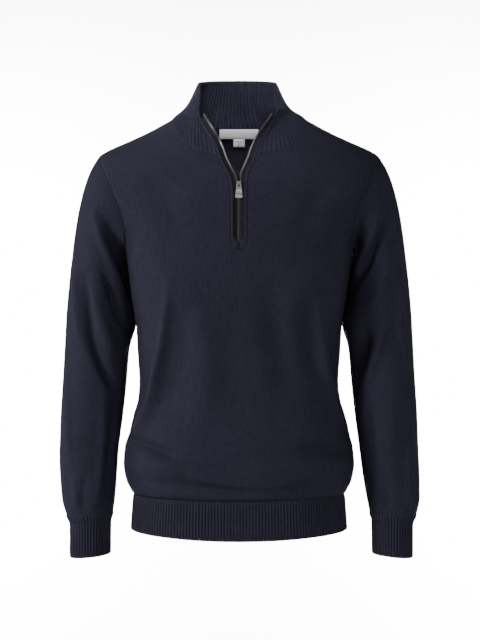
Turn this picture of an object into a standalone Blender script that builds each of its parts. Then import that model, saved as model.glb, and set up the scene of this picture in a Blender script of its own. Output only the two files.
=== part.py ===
"""Quarter zip sweater, worn form with no wearer: knitted panels, sleeves, ribs, collar and zip.

Every piece is a closed wall of cloth or a small metal part. The tables and sizes below are in
millimetres, and the meshes are made in metres. X is across, the front faces -Y, and Z is up
from the point level with the high shoulder, between the two neck points.
"""
import bpy
import bmesh
import numpy as np
from math import atan2, cos, pi, radians, sin

MM = 0.001

# cloth
JERSEY = 2.2                # wall of the plain knit
RIB_WALL = 2.0              # wall of the ribbed knit between its ribs
RIB_HEIGHT = 1.0
SEAM_GAP = 0.3
LABEL_WALL = 0.8
LABEL_CLEARANCE = 1.3       # label clear of the back panel's inside
SHARP_ANGLE = 35            # edges of more than this, in degrees, are drawn sharp
CURVE_SAMPLES = 400         # along a curve that is measured before it is divided evenly

# body, seen from the front; the depths run from the middle plane to the front and the back
SQUARENESS = 2.4            # exponent of the sections' superellipse
SHOULDER_ROUND = 95.0       # height over which the shoulder's top rounds over
TORSO_NAMES = ("height", "half_width", "front", "back")
TORSO = (
    (-601, 167, 112, 107), (-589, 174, 122, 115), (-576, 180, 128, 119), (-550, 184, 130, 119),
    (-525, 182, 127, 115), (-499, 174, 122, 108), (-473, 168, 118, 102), (-448, 161, 116, 99),
    (-422, 159, 115, 98), (-371, 162, 116, 100), (-333, 164, 119, 105), (-281, 172, 122, 111),
    (-250, 176, 123, 115), (-215, 181, 122, 117), (-190, 190, 119, 116), (-147, 215, 113, 112),
    (-100, 250, 102, 103), (-75, 275, 95, 96), (-50, 310, 87, 88), (-11, 320, 75, 67),
    (10, 330, 70, 60),
)
SHOULDER_NAMES = ("out", "height")
SHOULDER = (
    (0, 95), (60, 60), (85, 20), (105, -2), (123, -12.6), (149, -26.4), (178, -39.6),
    (205, -51.5), (222, -61), (240, -73),
)

# seams
NECK_POINT = (105.0, -2.0)  # where shoulder seam, neckline and collar meet
SHOULDER_POINT = 222.0      # how far out the shoulder seam ends
BACK_NECK_HEIGHT = -7.0
ARMPIT_HEIGHT = -215.0
ARMHOLE_NAMES = ("height", "out")
ARMHOLE = (
    (-215, 181), (-205, 178.5), (-190, 178), (-170, 181), (-147, 187), (-113, 201), (-83, 215),
    (-61, 222),
)
HEM_SEAM_SIDE, HEM_SEAM_CENTRE = -597.0, -601.0
HEM_SIDE, HEM_CENTRE = -652.5, -660.0
HEM_SPREAD = 4.0            # how much the hem's lower edge stands out from its seam
HEM_DIP_FADE = 60.0         # the hem seam's dip is lost over this height of the panels
ARMPIT_ROWS, ARMPIT_SHARE = 4, 0.85   # rows of the armhole where the wall turns under the arm
ARMPIT_WAY = (0.15, 0, -1.0)

# counts of mesh columns and rows
FRONT_NECK_COLUMNS, BACK_NECK_COLUMNS, SHOULDER_COLUMNS = 11, 10, 6
ARMHOLE_ROWS = 10
BODY_HEIGHTS = {
    "front": (-586, -570, -547, -520, -490, -455, -415, -370, -325, -285, -249),
    "back": (-584, -564, -532, -485, -430, -370, -310, -258),
}
HEM_COLUMNS, RIBS_PER_HEM_COLUMN = 38, 5
CUFF_COLUMNS, RIBS_PER_CUFF_COLUMN = 22, 4
COLLAR_SPLIT = 4            # collar columns to each column of the neckline
COLLAR_ROWS = (0, 0.2, 0.42, 0.7, 1)
COLLAR_PLAIN_EDGE = 0.06    # share of the half collar whose inside is plain, over the zip's tape
COLLAR_WAY_REACH = 0.09     # share over which the wall's direction leaves the zip's
COLLAR_EDGE_REACH = 0.16    # share of the half collar that follows the zip's line
COLLAR_EDGE_GAP = 0.9       # added at the top between the collar and the zip's binding
COLLAR_LEAN = -2.6          # the standing part leans a little to the left
COLLAR_LEAN_START = 0.4     # in shares of the reach above

# zip: the line of the teeth, right half, from its bottom end to its top at the collar's corner
ZIP_NAMES = ("height", "out")
ZIP = (
    (-240, 1.3), (-125, 1.3), (-119, 1.5), (-112, 2.8), (-102, 5.5), (-87, 12.5), (-71.5, 20),
    (-55, 25.5), (-40, 32), (-21.7, 45), (-3, 57),
)
ZIP_SEAM, ZIP_TOP = -64.0, -3.0
ZIP_TURN_START, ZIP_TURN = -52.0, 50.0   # above this the tape turns back with the collar, in degrees
SLIT_HEIGHTS = (-215.5, -214, -199, -183, -167, -150, -133, -116, -99, -81, -64)
SLIT_OFFSET = 11.0          # from the line of the teeth to the edge of the front panel
SLIT_END_OFFSET, SLIT_WIDENS = 7.5, 16.0
BINDING_INNER, BINDING_OVER, BINDING_WALL = 6.5, 0.8, 2.8
BINDING_CLOSED, BINDING_OPENS = -205.0, 8.0   # below the first the two bindings meet
BINDING_MEETS = -1.0        # the inner edge there, short of the middle by the zip line's own offset
TAPE_INNER, TAPE_OUTER, TAPE_OUTER_TOP, TAPE_WALL = 1.5, 12.5, 10.0, 0.8
TAPE_NARROWS = -45.0        # above this the tape narrows towards its top
TAPE_DEPTH = 2.9            # top of the tape below the front panel's face
TEETH_HALF_WIDTH, TEETH_WALL, TEETH_DEPTH = 1.1, 2.2, 1.9
TEETH_MIDDLE_GAP = 0.2      # taken off the teeth's meeting edge
ZIP_ROWS = (-205, -180, -155, -130, -122, -115, -108, -101, -94, -87, -80, -73)

# slider and pull tab, along the zip's own slope
SLIDER_HEIGHT = -115.0
SLIDER_LENGTH, SLIDER_WIDTH, SLIDER_PLATE = 11.0, 8.6, 1.1
SLIDER_CHANNEL, SLIDER_BEVEL = 2.9, 0.3
SLOPE_SPAN = 8.0            # the zip's slope is measured over this height each way
WEDGE_WIDTH, WEDGE_LENGTH, WEDGE_INSET, WEDGE_BEVEL = 2.2, 2.6, 0.4, 0.2
CROWN_WIDTH, CROWN_LENGTH, CROWN_RISE, CROWN_WIRE = 1.9, 6.6, 3.5, 0.9
CROWN_STEPS = 11
PIVOT_RISE = 1.3            # the tab's bar above the slider's face
TAB_LENGTH, TAB_TOP_WIDTH, TAB_BOTTOM_WIDTH, TAB_WALL = 25.0, 6.4, 12.6, 1.5
TAB_EYE_WIDTH, TAB_EYE_TOP, TAB_EYE_BOTTOM = 3.2, 0.75, 4.6
TAB_STEPS, TAB_FLARE = 32, 0.8
TAB_EYE_SQUARE = 0.45       # exponent of the eye's rounded square form; 1 would be an ellipse

# sleeves: a section is an ellipse between an outer and an inner point
SLEEVE_NAMES = ("step", "outer_x", "outer_z", "inner_x", "inner_z", "depth", "middle_y")
SLEEVE = (
    (0, 222, -61, 181, -215, 66, 0), (1, 237.3, -86, 182.3, -219, 66, 3),
    (2, 249.7, -119, 180.8, -226, 66, 7), (3, 259.8, -162, 177.9, -238, 65, 12),
    (4, 267.8, -215, 175.5, -258, 63, 17), (5, 274.8, -275, 171.2, -290, 61, 20),
    (6, 278.8, -326, 165.8, -327, 59, 19), (7, 280.2, -370, 175.9, -370, 58, 12),
    (8, 281.8, -420, 179.6, -420, 55, 2), (9, 284, -470, 184.2, -470, 52, -7),
    (10, 285, -520, 190.4, -520, 49, -14), (11, 286, -565, 195.4, -565, 46, -18),
    (12, 285.5, -603, 200.5, -601, 42, -21), (13, 279.5, -631, 205, -626, 38, -23),
)
SLEEVE_STEPS = (0, 0.5, 1.1, 1.8, 2.6, 3.4, 4.3, 5.2, 6, 7, 8, 9, 10, 11, 12, 13)
ARMHOLE_BLEND = 3.0         # steps over which the armhole's form turns into the sleeve's
CUFF = (
    (0, 279.5, -631, 205, -626, 38, -23), (1, 272.3, -648, 210, -643, 33, -24),
    (2, 272, -696, 210.5, -690, 33, -25),
)
CUFF_STEPS = (0, 1, 2)
SLEEVE_SWING = {-1: -6.0, 1: 1.6}   # how far the cuff end stands out, on the left and the right
SWING_START, SWING_LENGTH = -520.0, 120.0

# collar: half of it, from the zip round to the middle of the back
COLLAR_NAMES = ("along", "crease_at", "crease_x", "crease_y", "crease_z", "top_x", "top_y", "top_z")
COLLAR = (
    (0.00, 0.60, 56, -75, -24, 63, -64, -7), (0.12, 0.60, 68, -60, -7, 62, -52, 10),
    (0.26, 0.50, 76, -46, -1, 60, -36.5, 28), (0.40, 0.45, 83, -24, 9, 61, -17, 44.5),
    (0.52, 0.42, 82.5, 2, 15.5, 62, 8, 56), (0.70, 0.38, 71, 39, 14, 53.5, 38, 62.5),
    (0.85, 0.36, 40, 63, 14, 30, 56, 66.5), (1.00, 0.35, 0, 70, 14, 0, 61, 67.5),
)

# labels on the inside of the back, under the collar
LABEL_WIDTH, LABEL_HEIGHT, LABEL_TOP, LABEL_COLUMNS = 66.0, 16.0, -9.5, 7
SIZE_LABEL_WIDTH, SIZE_LABEL_HEIGHT = 20.0, 12.0

# largest folds: a bent line from start to end, its half width, and how far it stands out
FOLD_END, FOLD_TAPER = 0.04, 0.7
FOLD_FADE_LOW, FOLD_FADE_HIGH, FOLD_FADE_SIDE = 12, 6, 7   # sharpness of the fade at the seams
SLEEVE_FADE_TOP, SLEEVE_FADE_CUFF = 2.0, 1.5               # in steps of the sleeve
SLEEVE_FACING = 2.0         # how soon a sleeve's fold is lost where the cloth turns away
FOLD_NAMES = ("face", "start", "bend", "end", "width", "height")
BODY_FOLDS = (
    ("front", (-110, -262), (-128, -390), (-164, -505), 15, 6.0),
    ("front", (120, -322), (136, -420), (166, -510), 15, 5.0),
    ("front", (-152, -524), (-80, -568), (20, -576), 14, -3.5),
    ("front", (154, -528), (110, -562), (60, -578), 14, -3.5),
    ("back", (-105, -250), (-120, -350), (-155, -470), 14, 4.0),
    ("back", (110, -260), (128, -360), (158, -480), 14, 4.5),
    ("back", (-60, -430), (0, -455), (70, -425), 15, -3.5),
    ("back", (-120, -560), (0, -574), (125, -556), 14, -3.0),
)
SLEEVE_FOLDS = {
    -1: (
        ("front", (-240, -255), (-228, -345), (-196, -415), 12, -5.0),
        ("front", (-210, -262), (-192, -308), (-176, -342), 10, -4.5),
        ("front", (-222, -170), (-212, -205), (-200, -240), 11, 4.0),
        ("back", (-262, -300), (-235, -350), (-196, -380), 13, -4.5),
        ("back", (-268, -430), (-240, -455), (-204, -450), 12, -3.5),
    ),
    1: (
        ("front", (232, -178), (208, -215), (186, -246), 11, -5.0),
        ("front", (252, -215), (258, -290), (262, -350), 12, 3.5),
        ("front", (244, -330), (222, -385), (196, -430), 12, -4.0),
        ("back", (262, -280), (232, -335), (190, -365), 13, -4.5),
        ("back", (268, -440), (238, -470), (206, -460), 12, -3.5),
    ),
}

MATERIALS = {
    "navy_knit": ((0.024, 0.026, 0.046), 0.9, 0.0),
    "navy_rib": ((0.020, 0.022, 0.040), 0.9, 0.0),
    "dark_tape": ((0.016, 0.016, 0.018), 0.8, 0.0),
    "bright_metal": ((0.55, 0.53, 0.50), 0.3, 1.0),
    "label_cloth": ((0.60, 0.60, 0.62), 0.8, 0.0),
}
SIDES = {"left": -1, "right": 1}


def clear_scene():
    for item in list(bpy.data.objects):
        bpy.data.objects.remove(item, do_unlink=True)


def material(name):
    if name in bpy.data.materials:
        return bpy.data.materials[name]
    colour, roughness, metallic = MATERIALS[name]
    made = bpy.data.materials.new(name)
    made.use_nodes = True
    shader = made.node_tree.nodes["Principled BSDF"]
    shader.inputs["Base Color"].default_value = (*colour, 1)
    shader.inputs["Roughness"].default_value = roughness
    shader.inputs["Metallic"].default_value = metallic
    return made


# ---- curves through the tables

def smooth(knots, values, at):
    """Monotone cubic through the knots, held level past both ends."""
    knots, values, at = (np.asarray(item, float) for item in (knots, values, at))
    step = np.diff(knots)
    rise = np.diff(values) / step
    slope = np.zeros_like(values)
    slope[0], slope[-1] = rise[0], rise[-1]
    before, after = 2 * step[1:] + step[:-1], step[1:] + 2 * step[:-1]
    turning = rise[:-1] * rise[1:] <= 0
    safe_first, safe_second = np.where(turning, 1, rise[:-1]), np.where(turning, 1, rise[1:])
    mean = (before + after) / (before / safe_first + after / safe_second)
    slope[1:-1] = np.where(turning, 0, mean)
    cell = np.clip(np.searchsorted(knots, at) - 1, 0, len(knots) - 2)
    part = np.clip((at - knots[cell]) / step[cell], 0, 1)
    square, cube = part ** 2, part ** 3
    level = (2 * cube - 3 * square + 1) * values[cell] + (3 * square - 2 * cube) * values[cell + 1]
    bend = (cube - 2 * square + part) * slope[cell] + (cube - square) * slope[cell + 1]
    return level + step[cell] * bend


def look_up(table, names, name, at):
    rows = np.array(table, float)
    order = np.argsort(rows[:, 0])
    return smooth(rows[order, 0], rows[order, names.index(name)], at)


def unit(vectors):
    length = np.linalg.norm(vectors, axis=-1, keepdims=True)
    return vectors / np.maximum(length, 1e-12)


def ease(value):
    value = np.clip(value, 0, 1)
    return value * value * (3 - 2 * value)


# ---- the body's surface

def torso(name, height):
    return look_up(TORSO, TORSO_NAMES, name, height)


def shoulder_height(out):
    return look_up(SHOULDER, SHOULDER_NAMES, "height", np.abs(out))


def torso_depth(out, height, side):
    """Depth of the body's surface at a place seen from the front; side is -1 front, 1 back."""
    rounding = np.clip(1 - (shoulder_height(out) - height) / SHOULDER_ROUND, 0, 1)
    across = np.clip(1 - (np.abs(out) / torso("half_width", height)) ** SQUARENESS, 0, 1)
    reach = ((1 - rounding ** SQUARENESS) * across) ** (1 / SQUARENESS)
    return side * torso("front" if side < 0 else "back", height) * reach


def on_torso(out, height, side):
    return np.stack([out, torso_depth(out, height, side), height], axis=-1)


def torso_level(points, side):
    """Zero on the body's surface, more outside it."""
    out, deep, height = points[..., 0], points[..., 1], points[..., 2]
    rounding = np.clip(1 - (shoulder_height(out) - height) / SHOULDER_ROUND, 0, 1.2)
    across = 1 - (np.abs(out) / torso("half_width", height)) ** SQUARENESS
    reach = np.abs(deep) / torso("front" if side < 0 else "back", height)
    return reach ** SQUARENESS - (1 - rounding ** SQUARENESS) * across


def torso_normal(points, side):
    nudge = 0.05
    slopes = []
    for axis in np.eye(3):
        ahead = torso_level(points + nudge * axis, side)
        slopes.append(ahead - torso_level(points - nudge * axis, side))
    return unit(np.stack(slopes, axis=-1))


def section_out(height, parts, side):
    """Places across one level, evenly along the cloth from the middle (0) to the side (1)."""
    turn = np.linspace(0, pi / 2, CURVE_SAMPLES)
    half, deep = torso("half_width", height), torso("front" if side < 0 else "back", height)
    out = half * np.sin(turn) ** (2 / SQUARENESS)
    depth = deep * np.cos(turn) ** (2 / SQUARENESS)
    run = np.concatenate([[0], np.cumsum(np.hypot(np.diff(out), np.diff(depth)))])
    return np.interp(np.asarray(parts) * run[-1], run, out)


def level_out(heights, parts, side):
    """The same for parts that each have a height of their own."""
    return np.array([section_out(height, part, side) for height, part in zip(heights, parts)])


def hem_dip(parts, side_height, centre_height):
    return side_height + (centre_height - side_height) * np.cos(np.asarray(parts) * pi / 2) ** 2


# ---- folds

def distance_to_line(out, height, start, bend, end):
    """Nearest distance to a bent line, and how far along it that is, from 0 to 1."""
    best = np.full(np.shape(out), np.inf)
    along = np.zeros(np.shape(out))
    corners = np.array([start, bend, end], float)
    for piece in range(2):
        first, second = corners[piece], corners[piece + 1]
        run = second - first
        part = ((out - first[0]) * run[0] + (height - first[1]) * run[1]) / (run @ run)
        part = np.clip(part, 0, 1)
        away = np.hypot(out - first[0] - part * run[0], height - first[1] - part * run[1])
        closer = away < best
        best = np.where(closer, away, best)
        along = np.where(closer, (piece + part) / 2, along)
    return best, along


def fold_height(out, height, folds, face):
    total = np.zeros(np.shape(out))
    for fold in folds:
        row = dict(zip(FOLD_NAMES, fold))
        if row["face"] != face:
            continue
        away, along = distance_to_line(out, height, row["start"], row["bend"], row["end"])
        taper = np.sin(pi * np.clip(along, FOLD_END, 1 - FOLD_END)) ** FOLD_TAPER
        total += row["height"] * taper * np.exp(-(away / row["width"]) ** 2)
    return total


# ---- meshes

def add_object(name, points, faces, material_name):
    mesh = bpy.data.meshes.new(name)
    mesh.from_pydata([tuple(point * MM) for point in points], [], faces)
    made = bpy.data.objects.new(name, mesh)
    bpy.context.collection.objects.link(made)
    made.data.materials.append(material(material_name))
    face_out(mesh)
    mesh.shade_smooth()
    mesh.set_sharp_from_angle(angle=radians(SHARP_ANGLE))
    return made


def face_out(mesh):
    """Turns the faces so that the closed body's volume is positive."""
    work = bmesh.new()
    work.from_mesh(mesh)
    if work.calc_volume(signed=True) < 0:
        bmesh.ops.reverse_faces(work, faces=work.faces[:])
    work.to_mesh(mesh)
    work.free()


def grid_faces(rows, columns, closed=False, first=0):
    faces = []
    width = columns if closed else columns - 1
    for row in range(rows - 1):
        for column in range(width):
            after = (column + 1) % columns
            low, high = first + row * columns, first + (row + 1) * columns
            faces.append((low + column, low + after, high + after, high + column))
    return faces


def vertex_normals(points, faces):
    normals = np.zeros_like(points)
    for face in faces:
        corners = points[list(face)]
        across = np.cross(corners[2] - corners[0], corners[3] - corners[1])
        normals[list(face)] += across
    return unit(normals)


def wall(name, points, faces, normals, thickness, material_name):
    """A closed wall: the given faces outside, the same inside, and a rim on each open edge."""
    count = len(points)
    inside = points - normals * thickness
    used = {}
    for face in faces:
        for start, end in zip(face, face[1:] + face[:1]):
            used[start, end] = True
    rims = [(start, end) for start, end in used if (end, start) not in used]
    solid = list(faces)
    solid += [tuple(count + corner for corner in reversed(face)) for face in faces]
    solid += [(end, start, count + start, count + end) for start, end in rims]
    return add_object(name, np.concatenate([points, inside]), solid, material_name)


def stitch(first, second):
    """Triangles between two rows of points that run the same way and differ in count."""
    faces = []
    here, there = 0, 0
    last_here, last_there = len(first) - 1, len(second) - 1
    while here < last_here or there < last_there:
        if (here + 1) * last_there <= (there + 1) * last_here and here < last_here:
            faces.append((second[there], first[here], first[here + 1]))
            here += 1
        else:
            faces.append((second[there], first[here], second[there + 1]))
            there += 1
    return faces


def ribbed_wall(name, outer, inner, closed, material_name):
    """A wall whose outer grid may have more rows and columns than its inner grid."""
    rows, fine = outer.shape[:2]
    inner_rows, coarse = inner.shape[:2]
    outer_index = np.arange(rows * fine).reshape(rows, fine)
    inner_index = rows * fine + np.arange(inner_rows * coarse).reshape(inner_rows, coarse)
    faces = grid_faces(rows, fine, closed)
    faces += [face[::-1] for face in grid_faces(inner_rows, coarse, closed, rows * fine)]
    if closed:
        outer_index = np.concatenate([outer_index, outer_index[:, :1]], axis=1)
        inner_index = np.concatenate([inner_index, inner_index[:, :1]], axis=1)
    edges = [(outer_index[0][::-1], inner_index[0][::-1]), (outer_index[-1], inner_index[-1])]
    if not closed:
        edges += [(outer_index[:, 0], inner_index[:, 0]),
                  (outer_index[::-1, -1], inner_index[::-1, -1])]
    for first, second in edges:
        faces += stitch(first.tolist(), second.tolist())
    points = np.concatenate([outer.reshape(-1, 3), inner.reshape(-1, 3)])
    return add_object(name, points, faces, material_name)


def grid_normals(grid, closed=False):
    rows, columns = grid.shape[:2]
    points = grid.reshape(-1, 3)
    return vertex_normals(points, grid_faces(rows, columns, closed)).reshape(grid.shape)


# ---- zip line

def zip_line(heights, offset, side=1):
    """Points beside the line of the teeth, square to it, as seen from the front."""
    heights = np.asarray(heights, float)
    out = look_up(ZIP, ZIP_NAMES, "out", heights)
    above, below = (look_up(ZIP, ZIP_NAMES, "out", heights + nudge) for nudge in (1, -1))
    square = unit(np.stack([np.full(len(heights), 2.0), below - above], axis=-1))
    offset = np.asarray(offset, float) * np.ones(len(heights))
    return side * (out + square[:, 0] * offset), heights + square[:, 1] * offset


def zip_place(heights, offset, mirror=1):
    """Points beside the teeth on the cloth's face, and its directions, turned back near the top."""
    heights = np.asarray(heights, float)
    points = on_torso(*zip_line(heights, offset), -1)
    ways = torso_normal(points, -1)
    line = on_torso(*zip_line(heights, 0), -1)
    axis = unit(on_torso(*zip_line(heights + 1, 0), -1) - on_torso(*zip_line(heights - 1, 0), -1))
    turn = radians(ZIP_TURN) * ease((heights - ZIP_TURN_START) / (ZIP_TOP - ZIP_TURN_START))
    turn = turn[:, None]
    turned = []
    for vectors in (points - line, ways):
        along = (axis * vectors).sum(axis=1, keepdims=True)
        turned.append(vectors * np.cos(turn) + np.cross(axis, vectors) * np.sin(turn)
                      + axis * along * (1 - np.cos(turn)))
    flip = np.array([mirror, 1, 1])
    return (line + turned[0]) * flip, turned[1] * flip


def slit_offset(heights):
    widening = ease((np.asarray(heights) - SLIT_HEIGHTS[1]) / SLIT_WIDENS)
    return SLIT_END_OFFSET + (SLIT_OFFSET - SLIT_END_OFFSET) * widening


# ---- front and back panels

def neckline(side):
    """The neckline from the middle to the neck point, its points spaced evenly along the cloth."""
    columns = FRONT_NECK_COLUMNS if side < 0 else BACK_NECK_COLUMNS
    start_out, start_height = 0.0, BACK_NECK_HEIGHT
    if side < 0:
        start_out, start_height = (float(value[0]) for value in zip_line([ZIP_SEAM], SLIT_OFFSET))
    turn = np.linspace(pi / 2, 0, CURVE_SAMPLES)
    out = start_out + (NECK_POINT[0] - start_out) * np.cos(turn)
    height = NECK_POINT[1] + (start_height - NECK_POINT[1]) * np.sin(turn)
    run = np.linalg.norm(np.diff(on_torso(out, height, side), axis=0), axis=1)
    run = np.concatenate([[0], np.cumsum(run)])
    wanted = np.linspace(0, run[-1], columns + 1)
    return np.interp(wanted, run, out), np.interp(wanted, run, height)


def top_edge(side):
    """Neckline and shoulder seam from the middle to the shoulder point."""
    neck_out, neck_height = neckline(side)
    out = np.linspace(NECK_POINT[0], SHOULDER_POINT, SHOULDER_COLUMNS + 1)[1:]
    return np.concatenate([neck_out, out]), np.concatenate([neck_height, shoulder_height(out)])


def armhole_edge():
    """The armhole from the armpit to the shoulder point, the same on the front and the back."""
    turn = np.linspace(0, pi, ARMHOLE_ROWS + 1)
    top = float(shoulder_height(SHOULDER_POINT))
    height = ARMPIT_HEIGHT + (top - ARMPIT_HEIGHT) * (1 - np.cos(turn)) / 2
    return look_up(ARMHOLE, ARMHOLE_NAMES, "out", height), height


def body_heights(side):
    return BODY_HEIGHTS["front" if side < 0 else "back"]


def panel_half(side):
    """Places of the right half of a panel, rows from the hem up, columns from the middle out."""
    top_out, top_height = top_edge(side)
    columns = len(top_out)
    parts = np.linspace(0, 1, columns)
    outs, heights = [], []
    for level in (HEM_SEAM_SIDE,) + body_heights(side):
        seam_dip = hem_dip(parts, HEM_SEAM_SIDE, HEM_SEAM_CENTRE) - HEM_SEAM_SIDE
        fade = 1 - ease((level - HEM_SEAM_SIDE) / HEM_DIP_FADE)
        height = level + seam_dip * fade
        outs.append(level_out(height, parts, side))
        heights.append(height)
    first_height = SLIT_HEIGHTS[0] + (ARMPIT_HEIGHT - SLIT_HEIGHTS[0]) * parts
    bottom = np.stack([level_out(first_height, parts, side), first_height], axis=-1)
    top = np.stack([top_out, top_height], axis=-1)
    arm = np.stack(armhole_edge(), axis=-1)
    arm[0], arm[-1] = bottom[-1], top[-1]
    rise = np.linspace(0, 1, ARMHOLE_ROWS + 1)
    if side < 0:
        out, height = zip_line(SLIT_HEIGHTS, slit_offset(SLIT_HEIGHTS))
        middle = np.stack([out, height], axis=-1)
        middle[0] = bottom[0]
    else:
        middle = np.stack([np.zeros(ARMHOLE_ROWS + 1),
                           bottom[0, 1] + (top[0, 1] - bottom[0, 1]) * rise], axis=-1)
    middle[-1] = top[0]
    for row, up in enumerate(rise):
        across = parts[:, None]
        ruled = (1 - up) * bottom + up * top + (1 - across) * middle[row] + across * arm[row]
        corner = ((1 - across) * ((1 - up) * bottom[0] + up * top[0])
                  + across * ((1 - up) * bottom[-1] + up * top[-1]))
        place = ruled - corner
        outs.append(place[:, 0])
        heights.append(place[:, 1])
    return np.array(outs), np.array(heights)


def panel_places(side):
    """Point grid of the right half of a panel, before its folds."""
    out, height = panel_half(side)
    return on_torso(out, height, side)


def fold_window(rows, columns):
    """One inside the panel, nothing on its outer seams and on the slit."""
    row = np.arange(rows)[:, None] / (rows - 1)
    column = np.arange(columns)[None, :] / (columns - 1)
    fade = ease(row * FOLD_FADE_LOW) * ease((1 - row) * FOLD_FADE_HIGH)
    return fade * ease((1 - column) * FOLD_FADE_SIDE)


def build_panel(name, side):
    right = panel_places(side)
    rows, columns = right.shape[:2]
    left = right.copy()
    left[..., 0] *= -1
    face = "front" if side < 0 else "back"
    window = fold_window(rows, columns)
    halves = []
    for half in (left, right):
        height = window * fold_height(half[..., 0], half[..., 2], BODY_FOLDS, face)
        halves.append(half + torso_normal(half, side) * height[..., None])
    slit_row = len(body_heights(side)) + 1
    split_rows = rows if side > 0 else slit_row + 1
    left, right = halves
    points = list(left.reshape(-1, 3))
    index_right = np.zeros((rows, columns), int)
    for row in range(rows):
        for column in range(columns):
            if column == 0 and row < split_rows:
                index_right[row, column] = row * columns
            else:
                index_right[row, column] = len(points)
                points.append(right[row, column])
    index_left = np.arange(rows * columns).reshape(rows, columns)
    faces = []
    for row in range(rows - 1):
        for column in range(columns - 1):
            for index, turned in ((index_left, side < 0), (index_right, side > 0)):
                face_here = (index[row, column], index[row, column + 1],
                             index[row + 1, column + 1], index[row + 1, column])
                face_here = tuple(int(corner) for corner in face_here)
                faces.append(face_here[::-1] if turned else face_here)
    points = np.array(points)
    normals = vertex_normals(points, faces)
    for index, mirror in ((index_left, -1), (index_right, 1)):
        seam_points, seam_directions = panel_seams(side, mirror)
        for (row, column), direction in seam_directions.items():
            normals[index[row, column]] = direction
        for (row, column), place in seam_points.items():
            points[index[row, column]] = place
    return wall(name, points, faces, normals, JERSEY, "navy_knit")


def armpit_blend(normals):
    """Turns the body's normals towards the sleeve's along the armhole, most at the armpit."""
    low = np.clip(1 - np.arange(ARMHOLE_ROWS + 1) / ARMPIT_ROWS, 0, 1)[:, None]
    return unit(normals * (1 - ARMPIT_SHARE * low) + np.array(ARMPIT_WAY) * low)


def armhole_seam(side):
    """Points and shared wall directions along the right armhole, from armpit to shoulder."""
    out, height = armhole_edge()
    out[0] = section_out(ARMPIT_HEIGHT, 1, side)
    points = on_torso(out, height, side)
    points[0, 1] = points[-1, 1] = 0
    return points, armpit_blend(torso_normal(points, side))


def panel_seams(side, mirror):
    """Seam points pulled back by half the gap, and the wall's direction at each."""
    grid = panel_places(side)
    rows, columns = grid.shape[:2]
    half_gap = SEAM_GAP / 2
    below = len(body_heights(side)) + 1
    places, directions = {}, {}
    seam, shared = armhole_seam(side)
    inward = unit(grid[below:, -2] - grid[below:, -1])
    for step in range(ARMHOLE_ROWS + 1):
        places[below + step, columns - 1] = seam[step] + inward[step] * half_gap
        directions[below + step, columns - 1] = shared[step]
    for row in range(below):
        point = grid[row, -1].copy()
        directions[row, columns - 1] = torso_normal(point[None], side)[0]
        point[1] = side * half_gap
        places[row, columns - 1] = point
    neck_columns = len(neckline(side)[0]) - 1
    for column in range(neck_columns, columns - 1):
        point = grid[-1, column].copy()
        directions[rows - 1, column] = torso_normal(point[None], side)[0]
        point[1] = side * half_gap
        places[rows - 1, column] = point
    for corner in (places[below, columns - 1], places[rows - 1, columns - 1]):
        corner[1] = side * half_gap
    for column in range(neck_columns):
        point = grid[-1, column]
        down = unit(grid[-2, column] - point)
        places[rows - 1, column] = point + down * half_gap
        directions[rows - 1, column] = torso_normal(point[None], side)[0]
    flip = np.array([mirror, 1, 1])
    places = {key: value * flip for key, value in places.items()}
    directions = {key: value * flip for key, value in directions.items()}
    return places, directions


# ---- sleeves and cuffs

def tube(table, steps, columns, mirror):
    """Rings of an arm tube, each an ellipse between its outer and its inner point."""
    steps = np.asarray(steps, float)
    value = {name: look_up(table, SLEEVE_NAMES, name, steps)[:, None] for name in SLEEVE_NAMES}
    turn = np.linspace(0, 2 * pi, columns, endpoint=False)[None, :]
    outer, inner = (1 + np.cos(turn)) / 2, (1 - np.cos(turn)) / 2
    out = value["outer_x"] * outer + value["inner_x"] * inner
    height = value["outer_z"] * outer + value["inner_z"] * inner
    deep = value["middle_y"] - value["depth"] * np.sin(turn)
    out = out + SLEEVE_SWING[mirror] * ease((SWING_START - height) / SWING_LENGTH)
    return np.stack([mirror * out, deep, height], axis=-1)


def armhole_ring(mirror):
    """The armhole as a ring in the tube's order: shoulder, front, armpit, back."""
    front, front_way = armhole_seam(-1)
    back, back_way = armhole_seam(1)
    points = np.concatenate([front[::-1], back[1:-1]])
    ways = np.concatenate([front_way[::-1], back_way[1:-1]])
    flip = np.array([mirror, 1, 1])
    return points * flip, ways * flip


def build_sleeve(name, mirror):
    columns = 2 * ARMHOLE_ROWS
    steps = np.array(SLEEVE_STEPS)
    grid = tube(SLEEVE, steps, columns, mirror)
    ring, ways = armhole_ring(mirror)
    blend = ease(1 - steps / ARMHOLE_BLEND)[:, None, None]
    grid = grid + (ring - grid[0]) * blend
    normals = grid_normals(grid, closed=True) * mirror
    window = ease(steps / SLEEVE_FADE_TOP) * ease((steps[-1] - steps) / SLEEVE_FADE_CUFF)
    for face, sign in (("front", -1), ("back", 1)):
        facing = ease(sign * normals[..., 1] * SLEEVE_FACING)
        height = fold_height(grid[..., 0], grid[..., 2], SLEEVE_FOLDS[mirror], face)
        grid = grid + normals * (height * facing * window[:, None])[..., None]
    away = unit(grid[1] - grid[0])
    grid[0] = ring + away * SEAM_GAP / 2
    grid[-1, :, 2] += SEAM_GAP / 2
    points = grid.reshape(-1, 3)
    faces = grid_faces(len(grid), columns, closed=True)
    if mirror > 0:
        faces = [face[::-1] for face in faces]
    normals = vertex_normals(points, faces)
    away = grid - grid.mean(axis=1, keepdims=True)
    if (normals.reshape(grid.shape) * away).sum() < 0:
        normals = -normals
    normals[:columns] = ways
    normals[-columns:] = unit(normals[-columns:] * np.array([1, 1, 0]))
    return wall(name, points, faces, normals, JERSEY, "navy_knit")


def zigzag(grid, normals, rise, parity=0):
    """Raises every second column of a grid."""
    raised = (np.arange(grid.shape[1]) + parity) % 2
    return grid + normals * (raised * rise)[None, :, None]


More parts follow.
